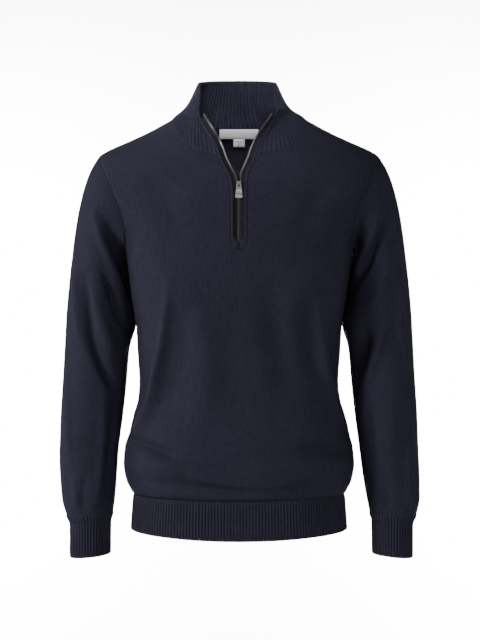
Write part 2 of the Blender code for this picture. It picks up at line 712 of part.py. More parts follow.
def outward(grid):
    normals = grid_normals(grid, closed=True)
    away = grid - grid.mean(axis=1, keepdims=True)
    return normals if (normals * away).sum() > 0 else -normals


def build_cuff(name, mirror):
    fine = tube(CUFF, CUFF_STEPS, CUFF_COLUMNS * RIBS_PER_CUFF_COLUMN, mirror)
    coarse = tube(CUFF, CUFF_STEPS, CUFF_COLUMNS, mirror)
    for grid in (fine, coarse):
        grid[0, :, 2] -= SEAM_GAP / 2
    level = np.array([1, 1, 0])
    outer = zigzag(fine, unit(outward(fine) * level), RIB_HEIGHT)
    inner = coarse - unit(outward(coarse) * level) * RIB_WALL
    return ribbed_wall(name, outer, inner, True, "navy_rib")


# ---- hem

def hem_grid(side, columns):
    """Half ring from the left side seam to the right one, its rows from the seam down."""
    parts = np.linspace(-1, 1, columns + 1)
    rows = []
    for top, spread in ((True, 0.0), (False, HEM_SPREAD)):
        if top:
            height = hem_dip(parts, HEM_SEAM_SIDE, HEM_SEAM_CENTRE) - SEAM_GAP
        else:
            height = hem_dip(parts, HEM_SIDE, HEM_CENTRE)
        out = section_out(HEM_SEAM_CENTRE, np.abs(parts), side) * np.sign(parts)
        level = on_torso(out, np.full(len(parts), HEM_SEAM_CENTRE), side)
        grid = np.stack([out, level[:, 1], height], axis=-1)
        way = unit(torso_normal(level, side) * np.array([1, 1, 0]))
        rows.append((grid + way * spread, way))
    places = np.stack([row[0] for row in rows])
    ways = np.stack([row[1] for row in rows])
    places[:, 0, 1] = places[:, -1, 1] = side * SEAM_GAP / 2
    return places, ways


def build_hem(name, side):
    fine, fine_ways = hem_grid(side, HEM_COLUMNS * RIBS_PER_HEM_COLUMN)
    coarse, coarse_ways = hem_grid(side, HEM_COLUMNS)
    outer = zigzag(fine, fine_ways, RIB_HEIGHT)
    inner = coarse - coarse_ways * RIB_WALL
    inner[:, 0, 1] = inner[:, -1, 1] = side * SEAM_GAP / 2
    return ribbed_wall(name, outer, inner, False, "navy_rib")


# ---- collar

def neck_ring():
    """The right half of the neckline from the zip to the middle of the back, in the panels' columns."""
    front = on_torso(*neckline(-1), -1)
    back = on_torso(*neckline(1), 1)[::-1]
    front_way = torso_normal(front, -1)
    back_way = torso_normal(back, 1)
    front[-1, 1] = back[0, 1] = 0
    points = np.concatenate([front, back[1:]])
    ways = np.concatenate([front_way, back_way[1:]])
    return points, ways


def split_evenly(rows, split):
    """Puts split - 1 points on each straight stretch between neighbours."""
    count = len(rows)
    at = np.linspace(0, count - 1, (count - 1) * split + 1)
    return np.stack([np.interp(at, np.arange(count), rows[:, axis]) for axis in range(3)], axis=-1)


def collar_edge_heights():
    return ZIP_SEAM + (ZIP_TOP - ZIP_SEAM) * np.array(COLLAR_ROWS)


def collar_half():
    ring, ways = neck_ring()
    base, base_ways = split_evenly(ring, COLLAR_SPLIT), unit(split_evenly(ways, COLLAR_SPLIT))
    along = np.linspace(0, 1, len(base))
    value = {name: look_up(COLLAR, COLLAR_NAMES, name, along) for name in COLLAR_NAMES}
    crease = np.stack([value["crease_x"], value["crease_y"], value["crease_z"]], axis=-1)
    top = np.stack([value["top_x"], value["top_y"], value["top_z"]], axis=-1)
    base_up = base.copy()
    base_up[:, 2] += SEAM_GAP / 2
    rows = []
    for level in COLLAR_ROWS:
        row = [[float(smooth([0, at, 1], [low, mid, high], level)) for low, mid, high in zip(*ends)]
               for at, *ends in zip(value["crease_at"], base_up, crease, top)]
        rows.append(row)
    grid = np.array(rows)
    grid[0] = base_up
    offset = SLIT_OFFSET + COLLAR_EDGE_GAP * np.array(COLLAR_ROWS)
    edge, edge_ways = zip_place(collar_edge_heights(), offset)
    edge[0] = base_up[0]
    fade = 1 - ease(along / COLLAR_EDGE_REACH)
    return grid + (edge - grid[:, 0])[:, None, :] * fade[None, :, None], base_ways, edge_ways


def collar_share(columns):
    """Share of the half collar from the nearest end, for each column."""
    along = np.linspace(0, 2, columns)
    return np.minimum(along, 2 - along)


def build_collar(name):
    right, right_ways, edge_ways = collar_half()
    flip = np.array([-1, 1, 1])
    grid = np.concatenate([right * flip, right[:, -2::-1]], axis=1)
    base_ways = np.concatenate([right_ways * flip, right_ways[-2::-1]])
    normals = grid_normals(grid)
    centre = grid.mean(axis=(0, 1))
    if (normals * (grid - centre)).sum() < 0:
        normals = -normals
    normals[0] = base_ways
    share = collar_share(grid.shape[1])
    fade = (1 - ease(share / COLLAR_WAY_REACH))[None, :, None]
    on_left = np.arange(len(share))[None, :, None] < len(share) / 2
    edge_ways = edge_ways[:, None, :] * np.where(on_left, flip, 1)
    normals = unit(normals * (1 - fade) + edge_ways * fade)
    lean = ease(share / COLLAR_EDGE_REACH - COLLAR_LEAN_START)
    grid[..., 0] += COLLAR_LEAN * ease(np.array(COLLAR_ROWS) / COLLAR_ROWS[2])[:, None] * lean
    plain = ease(share / COLLAR_PLAIN_EDGE - 1)
    outer = zigzag(grid, normals, RIB_HEIGHT)
    inner = zigzag(grid - normals * RIB_WALL, -normals, RIB_HEIGHT * plain, parity=1)
    return ribbed_wall(name, outer, inner, False, "navy_rib")


# ---- zip

def strip(name, mirror, heights, inner, outer, top, thickness, material_name):
    """A band beside the line of the teeth, between two offsets, at a height on the cloth's face."""
    heights = np.asarray(heights, float)
    rows = []
    for offset in (inner, outer):
        rows.append(zip_place(heights, offset, mirror))
    grid = np.stack([rows[0][0] + rows[0][1] * top, rows[1][0] + rows[1][1] * top], axis=1)
    below = np.stack([rows[0][0] + rows[0][1] * (top - thickness),
                      rows[1][0] + rows[1][1] * (top - thickness)], axis=1)
    points = np.concatenate([grid.reshape(-1, 3), below.reshape(-1, 3)])
    count = 2 * len(heights)
    faces = []
    for row in range(len(heights) - 1):
        low, high = 2 * row, 2 * (row + 1)
        for corners in ((low, low + 1, high + 1), (low, high + 1, high)):
            # the same diagonal above and below, so that a twisted thin band never crosses itself
            faces.append(corners)
            faces.append(tuple(count + corner for corner in reversed(corners)))
        faces.append((low, high, count + high, count + low))
        faces.append((high + 1, low + 1, count + low + 1, count + high + 1))
    last = count - 2
    faces.append((1, 0, count, count + 1))
    faces.append((last, last + 1, count + last + 1, count + last))
    return add_object(name, points, faces, material_name)


def build_zip():
    run = np.concatenate([ZIP_ROWS, collar_edge_heights()])
    narrowed = ease((run - TAPE_NARROWS) / (ZIP_TOP - TAPE_NARROWS))
    tape_outer = TAPE_OUTER + (TAPE_OUTER_TOP - TAPE_OUTER) * narrowed
    for label, mirror in SIDES.items():
        strip(f"zip_tape_{label}", mirror, run, TAPE_INNER, tape_outer, -TAPE_DEPTH, TAPE_WALL,
              "dark_tape")
        strip(f"zip_teeth_{label}", mirror, run, TEETH_MIDDLE_GAP - TEETH_HALF_WIDTH, TEETH_HALF_WIDTH,
              -TEETH_DEPTH, TEETH_WALL, "bright_metal")
        band = np.concatenate([SLIT_HEIGHTS[1:-1], collar_edge_heights()])
        opened = ease((band - BINDING_CLOSED) / BINDING_OPENS)
        inner = BINDING_MEETS + (BINDING_INNER - BINDING_MEETS) * opened
        strip(f"zip_binding_{label}", mirror, band, inner, slit_offset(band) - SEAM_GAP,
              BINDING_OVER, BINDING_WALL, "navy_rib")


def bevelled_box(name, size, centre, bevel):
    work = bmesh.new()
    bmesh.ops.create_cube(work, size=1)
    for vertex in work.verts:
        for axis in range(3):
            vertex.co[axis] = (vertex.co[axis] * size[axis] + centre[axis]) * MM
    bmesh.ops.bevel(work, geom=work.edges[:], offset=bevel * MM, segments=2, affect="EDGES")
    mesh = bpy.data.meshes.new(name)
    work.to_mesh(mesh)
    work.free()
    made = bpy.data.objects.new(name, mesh)
    bpy.context.collection.objects.link(made)
    made.data.materials.append(material("bright_metal"))
    return made


def arch(name, width, length, rise, wire):
    """The slider's crown: a half hoop over the face, seen from the side."""
    turn = np.linspace(0, pi, CROWN_STEPS)
    outer = np.stack([np.cos(turn) * length / 2, np.sin(turn) * rise], axis=-1)
    inner = np.stack([np.cos(turn) * (length / 2 - wire), np.sin(turn) * (rise - wire)], axis=-1)
    for loop in (outer, inner):
        loop[0, 1] = loop[-1, 1] = -SLIDER_PLATE / 2
    points, faces = [], []
    for across in (-width / 2, width / 2):
        for loop in (outer, inner):
            points += [(across, -high, along) for along, high in loop]
    count = len(turn)
    for cell in range(count - 1):
        after = cell + 1
        faces.append((cell, after, count + after, count + cell))
        faces.append(tuple(2 * count + corner for corner in
                           (count + cell, count + after, after, cell)))
        faces.append((after, cell, 2 * count + cell, 2 * count + after))
        faces.append((count + cell, count + after, 3 * count + after, 3 * count + cell))
    faces.append((0, count, 3 * count, 2 * count))
    last = count - 1
    faces.append((count + last, last, 2 * count + last, 3 * count + last))
    return add_object(name, np.array(points, float), faces, "bright_metal")


def slider_place():
    """Where the zip's face is at the slider, and how far its slope leans from upright."""
    heights = SLIDER_HEIGHT + np.array([-SLOPE_SPAN, 0, SLOPE_SPAN])
    depth = torso_depth(np.zeros(3), heights, -1)
    lean = atan2(depth[2] - depth[0], heights[2] - heights[0])
    return np.array([0, depth[1], SLIDER_HEIGHT]), -lean


def place_on_zip(made, rise=0.0):
    """Puts a part made round its own origin on the zip's face, leaning with it."""
    centre, lean = slider_place()
    made.rotation_euler = (lean, 0, 0)
    made.location = (centre + np.array([0, -cos(lean), -sin(lean)]) * rise) * MM


def build_slider():
    middle = -TEETH_DEPTH - TEETH_WALL / 2
    back_centre = middle - SLIDER_CHANNEL / 2 - SLIDER_PLATE / 2
    front_top = middle + SLIDER_CHANNEL / 2 + SLIDER_PLATE
    body = bevelled_box("zip_slider", (SLIDER_WIDTH, SLIDER_PLATE, SLIDER_LENGTH),
                        (0, -(front_top - SLIDER_PLATE / 2), 0), SLIDER_BEVEL)
    back = bevelled_box("slider_back", (SLIDER_WIDTH, SLIDER_PLATE, SLIDER_LENGTH),
                        (0, -back_centre, 0), SLIDER_BEVEL)
    wedge = bevelled_box("slider_wedge", (WEDGE_WIDTH, SLIDER_CHANNEL + SLIDER_PLATE, WEDGE_LENGTH),
                         (0, -middle, (SLIDER_LENGTH - WEDGE_LENGTH) / 2 - WEDGE_INSET), WEDGE_BEVEL)
    crown = arch("slider_crown", CROWN_WIDTH, CROWN_LENGTH, CROWN_RISE, CROWN_WIRE)
    crown.location = (0, -front_top * MM, 0)
    crown.data.transform(crown.matrix_basis)
    crown.location = (0, 0, 0)
    for operand in (back, wedge, crown):
        join = body.modifiers.new(f"join {operand.name}", "BOOLEAN")
        join.operation = "UNION"
        join.object = operand
        operand.hide_render = True
        operand.display_type = "WIRE"
        place_on_zip(operand)
    place_on_zip(body)
    return front_top


def build_pull_tab(face_rise):
    """A tapering plate whose eye turns in the crown; its origin is on the bar's axis."""
    steps = TAB_STEPS
    turn = np.linspace(0, 2 * pi, steps, endpoint=False)
    eye_middle = -(TAB_EYE_TOP + TAB_EYE_BOTTOM) / 2
    eye_half = (TAB_EYE_BOTTOM - TAB_EYE_TOP) / 2
    square = [np.sign(way(turn)) * np.abs(way(turn)) ** TAB_EYE_SQUARE for way in (np.cos, np.sin)]
    eye = np.stack([square[0] * TAB_EYE_WIDTH / 2, eye_middle + square[1] * eye_half], -1)
    top = TAB_WALL / 2
    bottom = top - TAB_LENGTH
    rim = []
    for angle in turn:
        way = np.array([cos(angle), sin(angle)])
        reach = 0.0
        for distance in np.linspace(0, TAB_LENGTH, CURVE_SAMPLES):
            place = np.array([0, eye_middle]) + way * distance
            down = (top - place[1]) / TAB_LENGTH
            wider = (TAB_BOTTOM_WIDTH - TAB_TOP_WIDTH) * max(down, 0) ** TAB_FLARE
            half = (TAB_TOP_WIDTH + wider) / 2
            if place[1] > top or place[1] < bottom or abs(place[0]) > half:
                break
            reach = distance
        rim.append(np.array([0, eye_middle]) + way * reach)
    rim = np.array(rim)
    points = []
    for deep in (-TAB_WALL / 2, TAB_WALL / 2):
        for loop in (rim, eye):
            points += [(place[0], deep, place[1]) for place in loop]
    faces = []
    for cell in range(steps):
        after = (cell + 1) % steps
        faces.append((cell, after, steps + after, steps + cell))
        faces.append(tuple(2 * steps + corner for corner in
                           (steps + cell, steps + after, after, cell)))
        faces.append((after, cell, 2 * steps + cell, 2 * steps + after))
        faces.append((steps + cell, steps + after, 3 * steps + after, 3 * steps + cell))
    tab = add_object("pull_tab", np.array(points, float), faces, "bright_metal")
    place_on_zip(tab, face_rise + PIVOT_RISE)


# ---- labels

def build_label(name, width, top, height):
    """A flat tape sewn under the collar, lying inside the back panel."""
    across = np.linspace(-width / 2, width / 2, LABEL_COLUMNS)
    levels = np.array([top, top - height])
    grid_out, grid_height = np.meshgrid(across, levels)
    points = on_torso(grid_out, grid_height, 1)
    ways = torso_normal(points, 1)
    outer = points - ways * (JERSEY + LABEL_CLEARANCE)
    faces = grid_faces(len(levels), LABEL_COLUMNS)
    return wall(name, outer.reshape(-1, 3), faces, ways.reshape(-1, 3), LABEL_WALL, "label_cloth")


def main():
    clear_scene()
    build_panel("front_panel", -1)
    build_panel("back_panel", 1)
    build_sleeve("sleeve_left", -1)
    build_sleeve("sleeve_right", 1)
    build_cuff("cuff_left", -1)
    build_cuff("cuff_right", 1)
    build_hem("hem_rib_front", -1)
    build_hem("hem_rib_back", 1)
    build_collar("collar")
    build_zip()
    build_pull_tab(build_slider())
    build_label("neck_label", LABEL_WIDTH, LABEL_TOP, LABEL_HEIGHT)
    build_label("size_label", SIZE_LABEL_WIDTH, LABEL_TOP - LABEL_HEIGHT - SEAM_GAP,
                SIZE_LABEL_HEIGHT)


main()
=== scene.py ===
from math import atan2, cos, pi, radians, sin
import bpy
import bmesh
import numpy as np
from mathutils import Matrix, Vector


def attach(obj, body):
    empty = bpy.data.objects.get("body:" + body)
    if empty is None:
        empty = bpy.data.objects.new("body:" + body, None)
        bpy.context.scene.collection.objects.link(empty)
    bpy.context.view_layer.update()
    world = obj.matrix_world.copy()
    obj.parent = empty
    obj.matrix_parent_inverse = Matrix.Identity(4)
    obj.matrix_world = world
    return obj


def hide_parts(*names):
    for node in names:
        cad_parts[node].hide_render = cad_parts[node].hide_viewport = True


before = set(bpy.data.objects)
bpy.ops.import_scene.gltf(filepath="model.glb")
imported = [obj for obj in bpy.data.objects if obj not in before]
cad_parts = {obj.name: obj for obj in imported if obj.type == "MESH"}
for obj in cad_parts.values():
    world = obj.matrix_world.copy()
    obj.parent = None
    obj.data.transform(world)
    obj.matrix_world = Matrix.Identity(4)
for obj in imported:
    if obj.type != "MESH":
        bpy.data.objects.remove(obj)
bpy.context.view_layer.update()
print("frame loaded:", len(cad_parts), "nodes")

# lengths in the tables below are in millimetres, meshes are made in metres
mm = 0.001
sides = {"left": -1, "right": 1}
sideNames = {-1: "front", 1: "back"}


# curves through tables and small vector helpers

def smooth(knots, values, at):
    # monotone cubic through the knots, level past both ends
    knots, values, at = (np.asarray(item, float) for item in (knots, values, at))
    step = np.diff(knots)
    rise = np.diff(values) / step
    slope = np.zeros_like(values)
    slope[0], slope[-1] = rise[0], rise[-1]
    before, after = 2 * step[1:] + step[:-1], step[1:] + 2 * step[:-1]
    turning = rise[:-1] * rise[1:] <= 0
    first, second = np.where(turning, 1, rise[:-1]), np.where(turning, 1, rise[1:])
    slope[1:-1] = np.where(turning, 0, (before + after) / (before / first + after / second))
    cell = np.clip(np.searchsorted(knots, at) - 1, 0, len(knots) - 2)
    part = np.clip((at - knots[cell]) / step[cell], 0, 1)
    square, cube = part ** 2, part ** 3
    level = (2 * cube - 3 * square + 1) * values[cell] + (3 * square - 2 * cube) * values[cell + 1]
    bend = (cube - 2 * square + part) * slope[cell] + (cube - square) * slope[cell + 1]
    return level + step[cell] * bend


def lookUp(table, column, at):
    rows = np.array(table, float)
    rows = rows[np.argsort(rows[:, 0])]
    return smooth(rows[:, 0], rows[:, column], at)


def unit(vectors):
    return vectors / np.maximum(np.linalg.norm(vectors, axis=-1, keepdims=True), 1e-12)


def levelled(ways):
    return unit(ways * np.array([1, 1, 0]))


def ease(value):
    value = np.clip(value, 0, 1)
    return value * value * (3 - 2 * value)


def runLength(points, axis=0):
    step = np.linalg.norm(np.diff(points, axis=axis), axis=-1)
    start = np.zeros_like(np.take(step, [0], axis=axis))
    return np.concatenate([start, np.cumsum(step, axis=axis)], axis=axis)


def gridNormals(grid, closed=False):
    # normals of a point grid, from its neighbours along both ways
    wrapped = np.concatenate([grid[:, -1:], grid, grid[:, :1]], axis=1) if closed else grid
    across = np.gradient(wrapped, axis=1)
    if closed:
        across = across[:, 1:-1]
    up = np.gradient(grid, axis=0)
    return unit(np.cross(across, up))


# the body's surface

body = {
    "squareness": 2.4,
    "shoulderRound": 95.0,
    "neckPoint": (105.0, -2.0),
    "shoulderPoint": 222.0,
    "backNeckHeight": -7.0,
    "armpitHeight": -215.0,
    "hemSeam": (-597.0, -601.0),       # at the side and in the middle
    "hemEdge": (-652.5, -660.0),
    "hemSpread": 4.0,
    "hemDipFade": 60.0,
    "wall": 2.2,
    "seamGap": 0.06,
    "rowPitch": 3.4,
    "neckColumns": {-1: 66, 1: 60},
    "shoulderColumns": 36,
    "armholeRows": 72,
    "torso": (                          # height, half width, front depth, back depth
        (-601, 167, 112, 107), (-589, 174, 122, 115), (-576, 180, 128, 119), (-550, 184, 130, 119),
        (-525, 182, 127, 115), (-499, 174, 122, 108), (-473, 168, 118, 102), (-448, 161, 116, 99),
        (-422, 159, 115, 98), (-371, 162, 116, 100), (-333, 164, 119, 105), (-281, 172, 122, 111),
        (-250, 176, 123, 115), (-215, 181, 122, 117), (-190, 190, 119, 116), (-147, 215, 113, 112),
        (-100, 250, 102, 103), (-75, 275, 95, 96), (-50, 310, 87, 88), (-11, 320, 75, 67),
        (10, 330, 70, 60),
    ),
    "shoulder": (                       # out, height
        (0, 95), (60, 60), (85, 20), (105, -2), (123, -12.6), (149, -26.4), (178, -39.6),
        (205, -51.5), (222, -61), (240, -73),
    ),
    "armhole": (                        # height, out
        (-215, 181), (-205, 178.5), (-190, 178), (-170, 181), (-147, 187), (-113, 201), (-83, 215),
        (-61, 222),
    ),
    "armpitWay": (0.15, 0, -1.0),
    "armpitShare": 0.85,
    "armpitReach": 0.4,
    "seamDip": 0.7,
    "seamDipWidth": 2.6,
    "creaseFade": (36, 6, 10),          # how soon creases rise from the hem, the top and the armhole
}


def torsoDepthAt(height, side):
    return lookUp(body["torso"], 2 if side < 0 else 3, height)


def shoulderHeight(out):
    return lookUp(body["shoulder"], 1, np.abs(out))


def torsoDepth(out, height, side):
    power = body["squareness"]
    rounding = np.clip(1 - (shoulderHeight(out) - height) / body["shoulderRound"], 0, 1)
    across = np.clip(1 - (np.abs(out) / lookUp(body["torso"], 1, height)) ** power, 0, 1)
    return side * torsoDepthAt(height, side) * ((1 - rounding ** power) * across) ** (1 / power)


def onTorso(out, height, side):
    return np.stack([out, torsoDepth(out, height, side), height], axis=-1)


def torsoLevel(points, side):
    out, deep, height = points[..., 0], points[..., 1], points[..., 2]
    power = body["squareness"]
    rounding = np.clip(1 - (shoulderHeight(out) - height) / body["shoulderRound"], 0, 1.2)
    across = 1 - (np.abs(out) / lookUp(body["torso"], 1, height)) ** power
    reach = np.abs(deep) / torsoDepthAt(height, side)
    return reach ** power - (1 - rounding ** power) * across


def torsoNormal(points, side):
    slopes = []
    for axis in np.eye(3) * 0.05:
        slopes.append(torsoLevel(points + axis, side) - torsoLevel(points - axis, side))
    return unit(np.stack(slopes, axis=-1))


def sectionOut(height, parts, side):
    # places across one level, evenly along the cloth from the middle (0) to the side (1)
    turn = np.linspace(0, pi / 2, 400)
    power = 2 / body["squareness"]
    out = lookUp(body["torso"], 1, height) * np.sin(turn) ** power
    depth = torsoDepthAt(height, side) * np.cos(turn) ** power
    run = np.concatenate([[0], np.cumsum(np.hypot(np.diff(out), np.diff(depth)))])
    return np.interp(np.asarray(parts) * run[-1], run, out)


def levelOut(heights, parts, side):
    return np.array([sectionOut(height, part, side) for height, part in zip(heights, parts)])


def hemDip(parts, ends):
    return ends[0] + (ends[1] - ends[0]) * np.cos(np.asarray(parts) * pi / 2) ** 2


# creases: soft ridges and troughs along given lines, as line, width, height and, if any, lean

crease = {
    "samples": 7,
    "endShare": 0.03,
    "taper": 0.7,
}


def smoothLine(line):
    line = np.array(line, float)
    if len(line) < 3:
        return line
    fine = np.linspace(0, len(line) - 1, (len(line) - 1) * crease["samples"] + 1)
    return np.stack([smooth(np.arange(len(line)), line[:, axis], fine) for axis in range(2)], axis=-1)


def creaseHeight(out, height, creases):
    total = np.zeros(np.shape(out))
    for line, width, rise, *lean in creases:
        corners = smoothLine(line)
        best, along, signed = total + 1e9, 0 * total, 0 * total
        for piece in range(len(corners) - 1):
            first, run = corners[piece], corners[piece + 1] - corners[piece]
            part = ((out - first[0]) * run[0] + (height - first[1]) * run[1]) / (run @ run)
            part = np.clip(part, 0, 1)
            awayX, awayZ = out - first[0] - part * run[0], height - first[1] - part * run[1]
            away = np.hypot(awayX, awayZ)
            closer = away < best
            best = np.where(closer, away, best)
            along = np.where(closer, (piece + part) / (len(corners) - 1), along)
            side = np.sign(awayX * run[1] - awayZ * run[0])
            signed = np.where(closer, side * away, signed)
        along = np.clip(along, crease["endShare"], 1 - crease["endShare"])
        bell = np.exp(-(best / width) ** 2)
        total += rise * np.sin(pi * along) ** crease["taper"] * bell * (1 + sum(lean) * signed / width)
    return total


# one edge of the open zip hangs a little inward

drift = {
    "amounts": (                        # height, how far inward
        (-118, 0), (-108, 2.0), (-95, 5.0), (-65, 6.5), (-36, 5.5), (-3, 3.8), (12, 2.0), (34, 0),
    ),
    "starts": 6.0,                      # out from the middle
    "reach": (12.0, 70.0),              # out from the line of the teeth
    "deep": (30.0, 25.0),               # forward from the middle plane, from and over
}


def hangInward(points):
    points = np.array(points, float)
    out, deep, height = points.T
    near, far = drift["reach"]
    beyond = out - lookUp(zipper["line"], 1, height) - near
    share = ease(out / drift["starts"]) * (1 - ease(beyond / (far - near)))
    share = share * ease((-deep - drift["deep"][0]) / drift["deep"][1])
    points[:, 0] -= share * lookUp(drift["amounts"], 1, height)
    return points


# meshes

def show(name, data):
    made = bpy.data.objects.new(name, data)
    bpy.context.scene.collection.objects.link(made)
    return made


def gridQuads(rows, columns, closedRows, closedColumns, first=0):
    # quads of a grid with their places in the unrolled pattern
    row, column = np.meshgrid(np.arange(rows if closedRows else rows - 1),
                              np.arange(columns if closedColumns else columns - 1), indexing="ij")
    row, column = row.ravel(), column.ravel()
    corners, pattern = [], []
    for stepRow, stepColumn in ((0, 0), (0, 1), (1, 1), (1, 0)):
        nextRow, nextColumn = row + stepRow, column + stepColumn
        corners.append(first + (nextRow % rows) * columns + nextColumn % columns)
        pattern.append(nextRow * (columns + 1) + nextColumn)
    return np.stack(corners, axis=1), np.stack(pattern, axis=1)


def makeMesh(name, points, quads, cloth, pattern, material):
    # points in millimetres, cloth gives places on the flat knit in metres, pattern its corners
    mesh = bpy.data.meshes.new(name)
    mesh.from_pydata((hangInward(points) * mm).tolist(), [], np.asarray(quads).tolist())
    made = show(name, mesh)
    layer = mesh.uv_layers.new(name="cloth")
    layer.data.foreach_set("uv", cloth[np.ravel(pattern)].astype(np.float32).ravel())
    faceOut(mesh)
    mesh.shade_smooth()
    mesh.materials.append(material)
    return made


def faceOut(mesh):
    work = bmesh.new()
    work.from_mesh(mesh)
    turned = work.calc_volume(signed=True) < 0
    work.free()
    if turned:
        mesh.flip_normals()


def wallLoop(outer, inner, rim, roundness):
    # rows down the outside, round the last rim, back along the inside and round the first rim
    def arc(start, end, beyond):
        centre, half = (start + end) / 2, (start - end) / 2
        reach = np.linalg.norm(half, axis=-1, keepdims=True) * roundness
        turns = np.linspace(0, pi, rim + 2)[1:-1]
        return [centre + half * cos(turn) + beyond * reach * sin(turn) for turn in turns]
    last = arc(outer[-1], inner[-1], unit(outer[-1] - outer[-2]))
    first = arc(inner[0], outer[0], unit(outer[0] - outer[1]))
    return np.concatenate([outer, last, inner[::-1], first])


def wallPiece(name, outer, inner, across, material, closed=False, rim=2, roundness=1.0):
    # a closed wall of cloth from two grids; across has a column more than a closed grid
    rows, columns = outer.shape[:2]
    loop = wallLoop(outer, inner, rim, roundness)
    quads, pattern = gridQuads(len(loop), columns, True, closed)
    along = runLength(np.concatenate([loop, loop[:1]]))
    along = np.concatenate([along, along[:, :1]], axis=1)
    wide = across if closed else np.concatenate([across, across[:, -1:]], axis=1)
    wide = np.concatenate([wide, np.repeat(wide[-1:], rim, axis=0), wide[::-1],
                           np.repeat(wide[:1], rim + 1, axis=0)])
    cloth = np.stack([wide, along], axis=-1).reshape(-1, 2) * mm
    if not closed:
        outside = np.arange(rows)
        inside = 2 * rows + rim - 1 - outside
        caps = np.stack([outside[:-1], outside[1:], inside[1:], inside[:-1]], axis=1)
        last = [rows - 1, rows, rows + 1, rows + 2]
        first = [2 * rows + rim - 1, 2 * rows + rim, 2 * rows + rim + 1, 0]
        caps = np.concatenate([caps, [last, first]])
        ends = [(caps, 0), (caps[:, ::-1], columns - 1)]
        quads = np.concatenate([quads] + [cap * columns + column for cap, column in ends])
        pattern = np.concatenate([pattern] + [cap * (columns + 1) + column for cap, column in ends])
    return makeMesh(name, loop.reshape(-1, 3), quads, cloth, pattern, material)


def stackRings(rings, ends="flat"):
    # faces over a list of equal closed rings, with flat ends, joined ends or none
    count = len(rings[0])
    faces = []
    for ring in range(len(rings) - 1):
        for corner in range(count):
            after = (corner + 1) % count
            low, high = ring * count, (ring + 1) * count
            faces.append((low + corner, low + after, high + after, high + corner))
    last = (len(rings) - 1) * count
    if ends == "flat":
        faces.append(tuple(range(count))[::-1])
        faces.append(tuple(last + corner for corner in range(count)))
    if ends == "joined":
        for corner in range(count):
            after = (corner + 1) % count
            faces.append((corner, last + corner, last + after, after))
    return np.concatenate(rings), faces


def addPiece(made, nodes, bodyName="garment"):
    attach(made, bodyName)
    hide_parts(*nodes)
    return made


# knitted panels

def neckline(side):
    # from the middle to the neck point, evenly along the cloth
    columns = body["neckColumns"][side]
    startOut, startHeight = 0.0, body["backNeckHeight"]
    if side < 0:
        startOut, startHeight = (float(value[0])
                                 for value in zipLine([zipper["seam"]], slit["offset"]))
    endOut, endHeight = body["neckPoint"]
    turn = np.linspace(pi / 2, 0, 800)
    out = startOut + (endOut - startOut) * np.cos(turn)
    height = endHeight + (startHeight - endHeight) * np.sin(turn)
    run = runLength(onTorso(out, height, side))
    wanted = np.linspace(0, run[-1], columns + 1)
    return np.interp(wanted, run, out), np.interp(wanted, run, height)


def topEdge(side):
    neckOut, neckHeight = neckline(side)
    out = np.linspace(body["neckPoint"][0], body["shoulderPoint"], body["shoulderColumns"] + 1)[1:]
    return np.concatenate([neckOut, out]), np.concatenate([neckHeight, shoulderHeight(out)])


def armholeEdge():
    turn = np.linspace(0, pi, body["armholeRows"] + 1)
    top = float(shoulderHeight(body["shoulderPoint"]))
    height = body["armpitHeight"] + (top - body["armpitHeight"]) * (1 - np.cos(turn)) / 2
    return lookUp(body["armhole"], 1, height), height


def panelPlaces(side):
    # right half of a panel: rows from the hem seam up, columns from the middle out
    topOut, topHeight = topEdge(side)
    parts = np.linspace(0, 1, len(topOut))
    outs, heights = [], []
    seamSide = body["hemSeam"][0]
    firstCoons = slit["bottom"] + (body["armpitHeight"] - slit["bottom"]) * parts
    count = int((slit["bottom"] - seamSide) / body["rowPitch"])
    for level in np.linspace(seamSide, slit["bottom"], count + 1)[:-1]:
        fade = 1 - ease((level - seamSide) / body["hemDipFade"])
        height = level + (hemDip(parts, body["hemSeam"]) - seamSide) * fade
        outs.append(levelOut(height, parts, side))
        heights.append(height)
    bottom = np.stack([levelOut(firstCoons, parts, side), firstCoons], axis=-1)
    top = np.stack([topOut, topHeight], axis=-1)
    arm = np.stack(armholeEdge(), axis=-1)
    arm[0], arm[-1] = bottom[-1], top[-1]
    rise = np.linspace(0, 1, body["armholeRows"] + 1)
    if side < 0:
        slitHeights = np.concatenate([[slit["bottom"]],
                                      np.linspace(slit["start"], zipper["seam"], len(rise) - 1)])
        middle = np.stack(zipLine(slitHeights, slitOffset(slitHeights)), axis=-1)
        middle[0] = bottom[0]
    else:
        middle = np.stack([0 * rise, bottom[0, 1] + (top[0, 1] - bottom[0, 1]) * rise], axis=-1)
    middle[-1] = top[0]
    across = parts[:, None]
    for row, up in enumerate(rise):
        ruled = (1 - up) * bottom + up * top + (1 - across) * middle[row] + across * arm[row]
        corner = ((1 - across) * ((1 - up) * bottom[0] + up * top[0])
                  + across * ((1 - up) * bottom[-1] + up * top[-1]))
        place = ruled - corner
        outs.append(place[:, 0])
        heights.append(place[:, 1])
    grid = onTorso(np.array(outs), np.array(heights), side)
    return grid, count


def armpitBlend(normals):
    # towards the sleeve's way along the armhole, most at the armpit
    rows = np.arange(len(normals)) / (len(normals) - 1)
    low = np.clip(1 - rows / body["armpitReach"], 0, 1)[:, None]
    return unit(normals * (1 - body["armpitShare"] * low) + np.array(body["armpitWay"]) * low)


def armholeSeam(side):
    out, height = armholeEdge()
    out[0] = sectionOut(body["armpitHeight"], 1, side)
    points = onTorso(out, height, side)
    points[0, 1] = points[-1, 1] = 0
    return points, armpitBlend(torsoNormal(points, side))


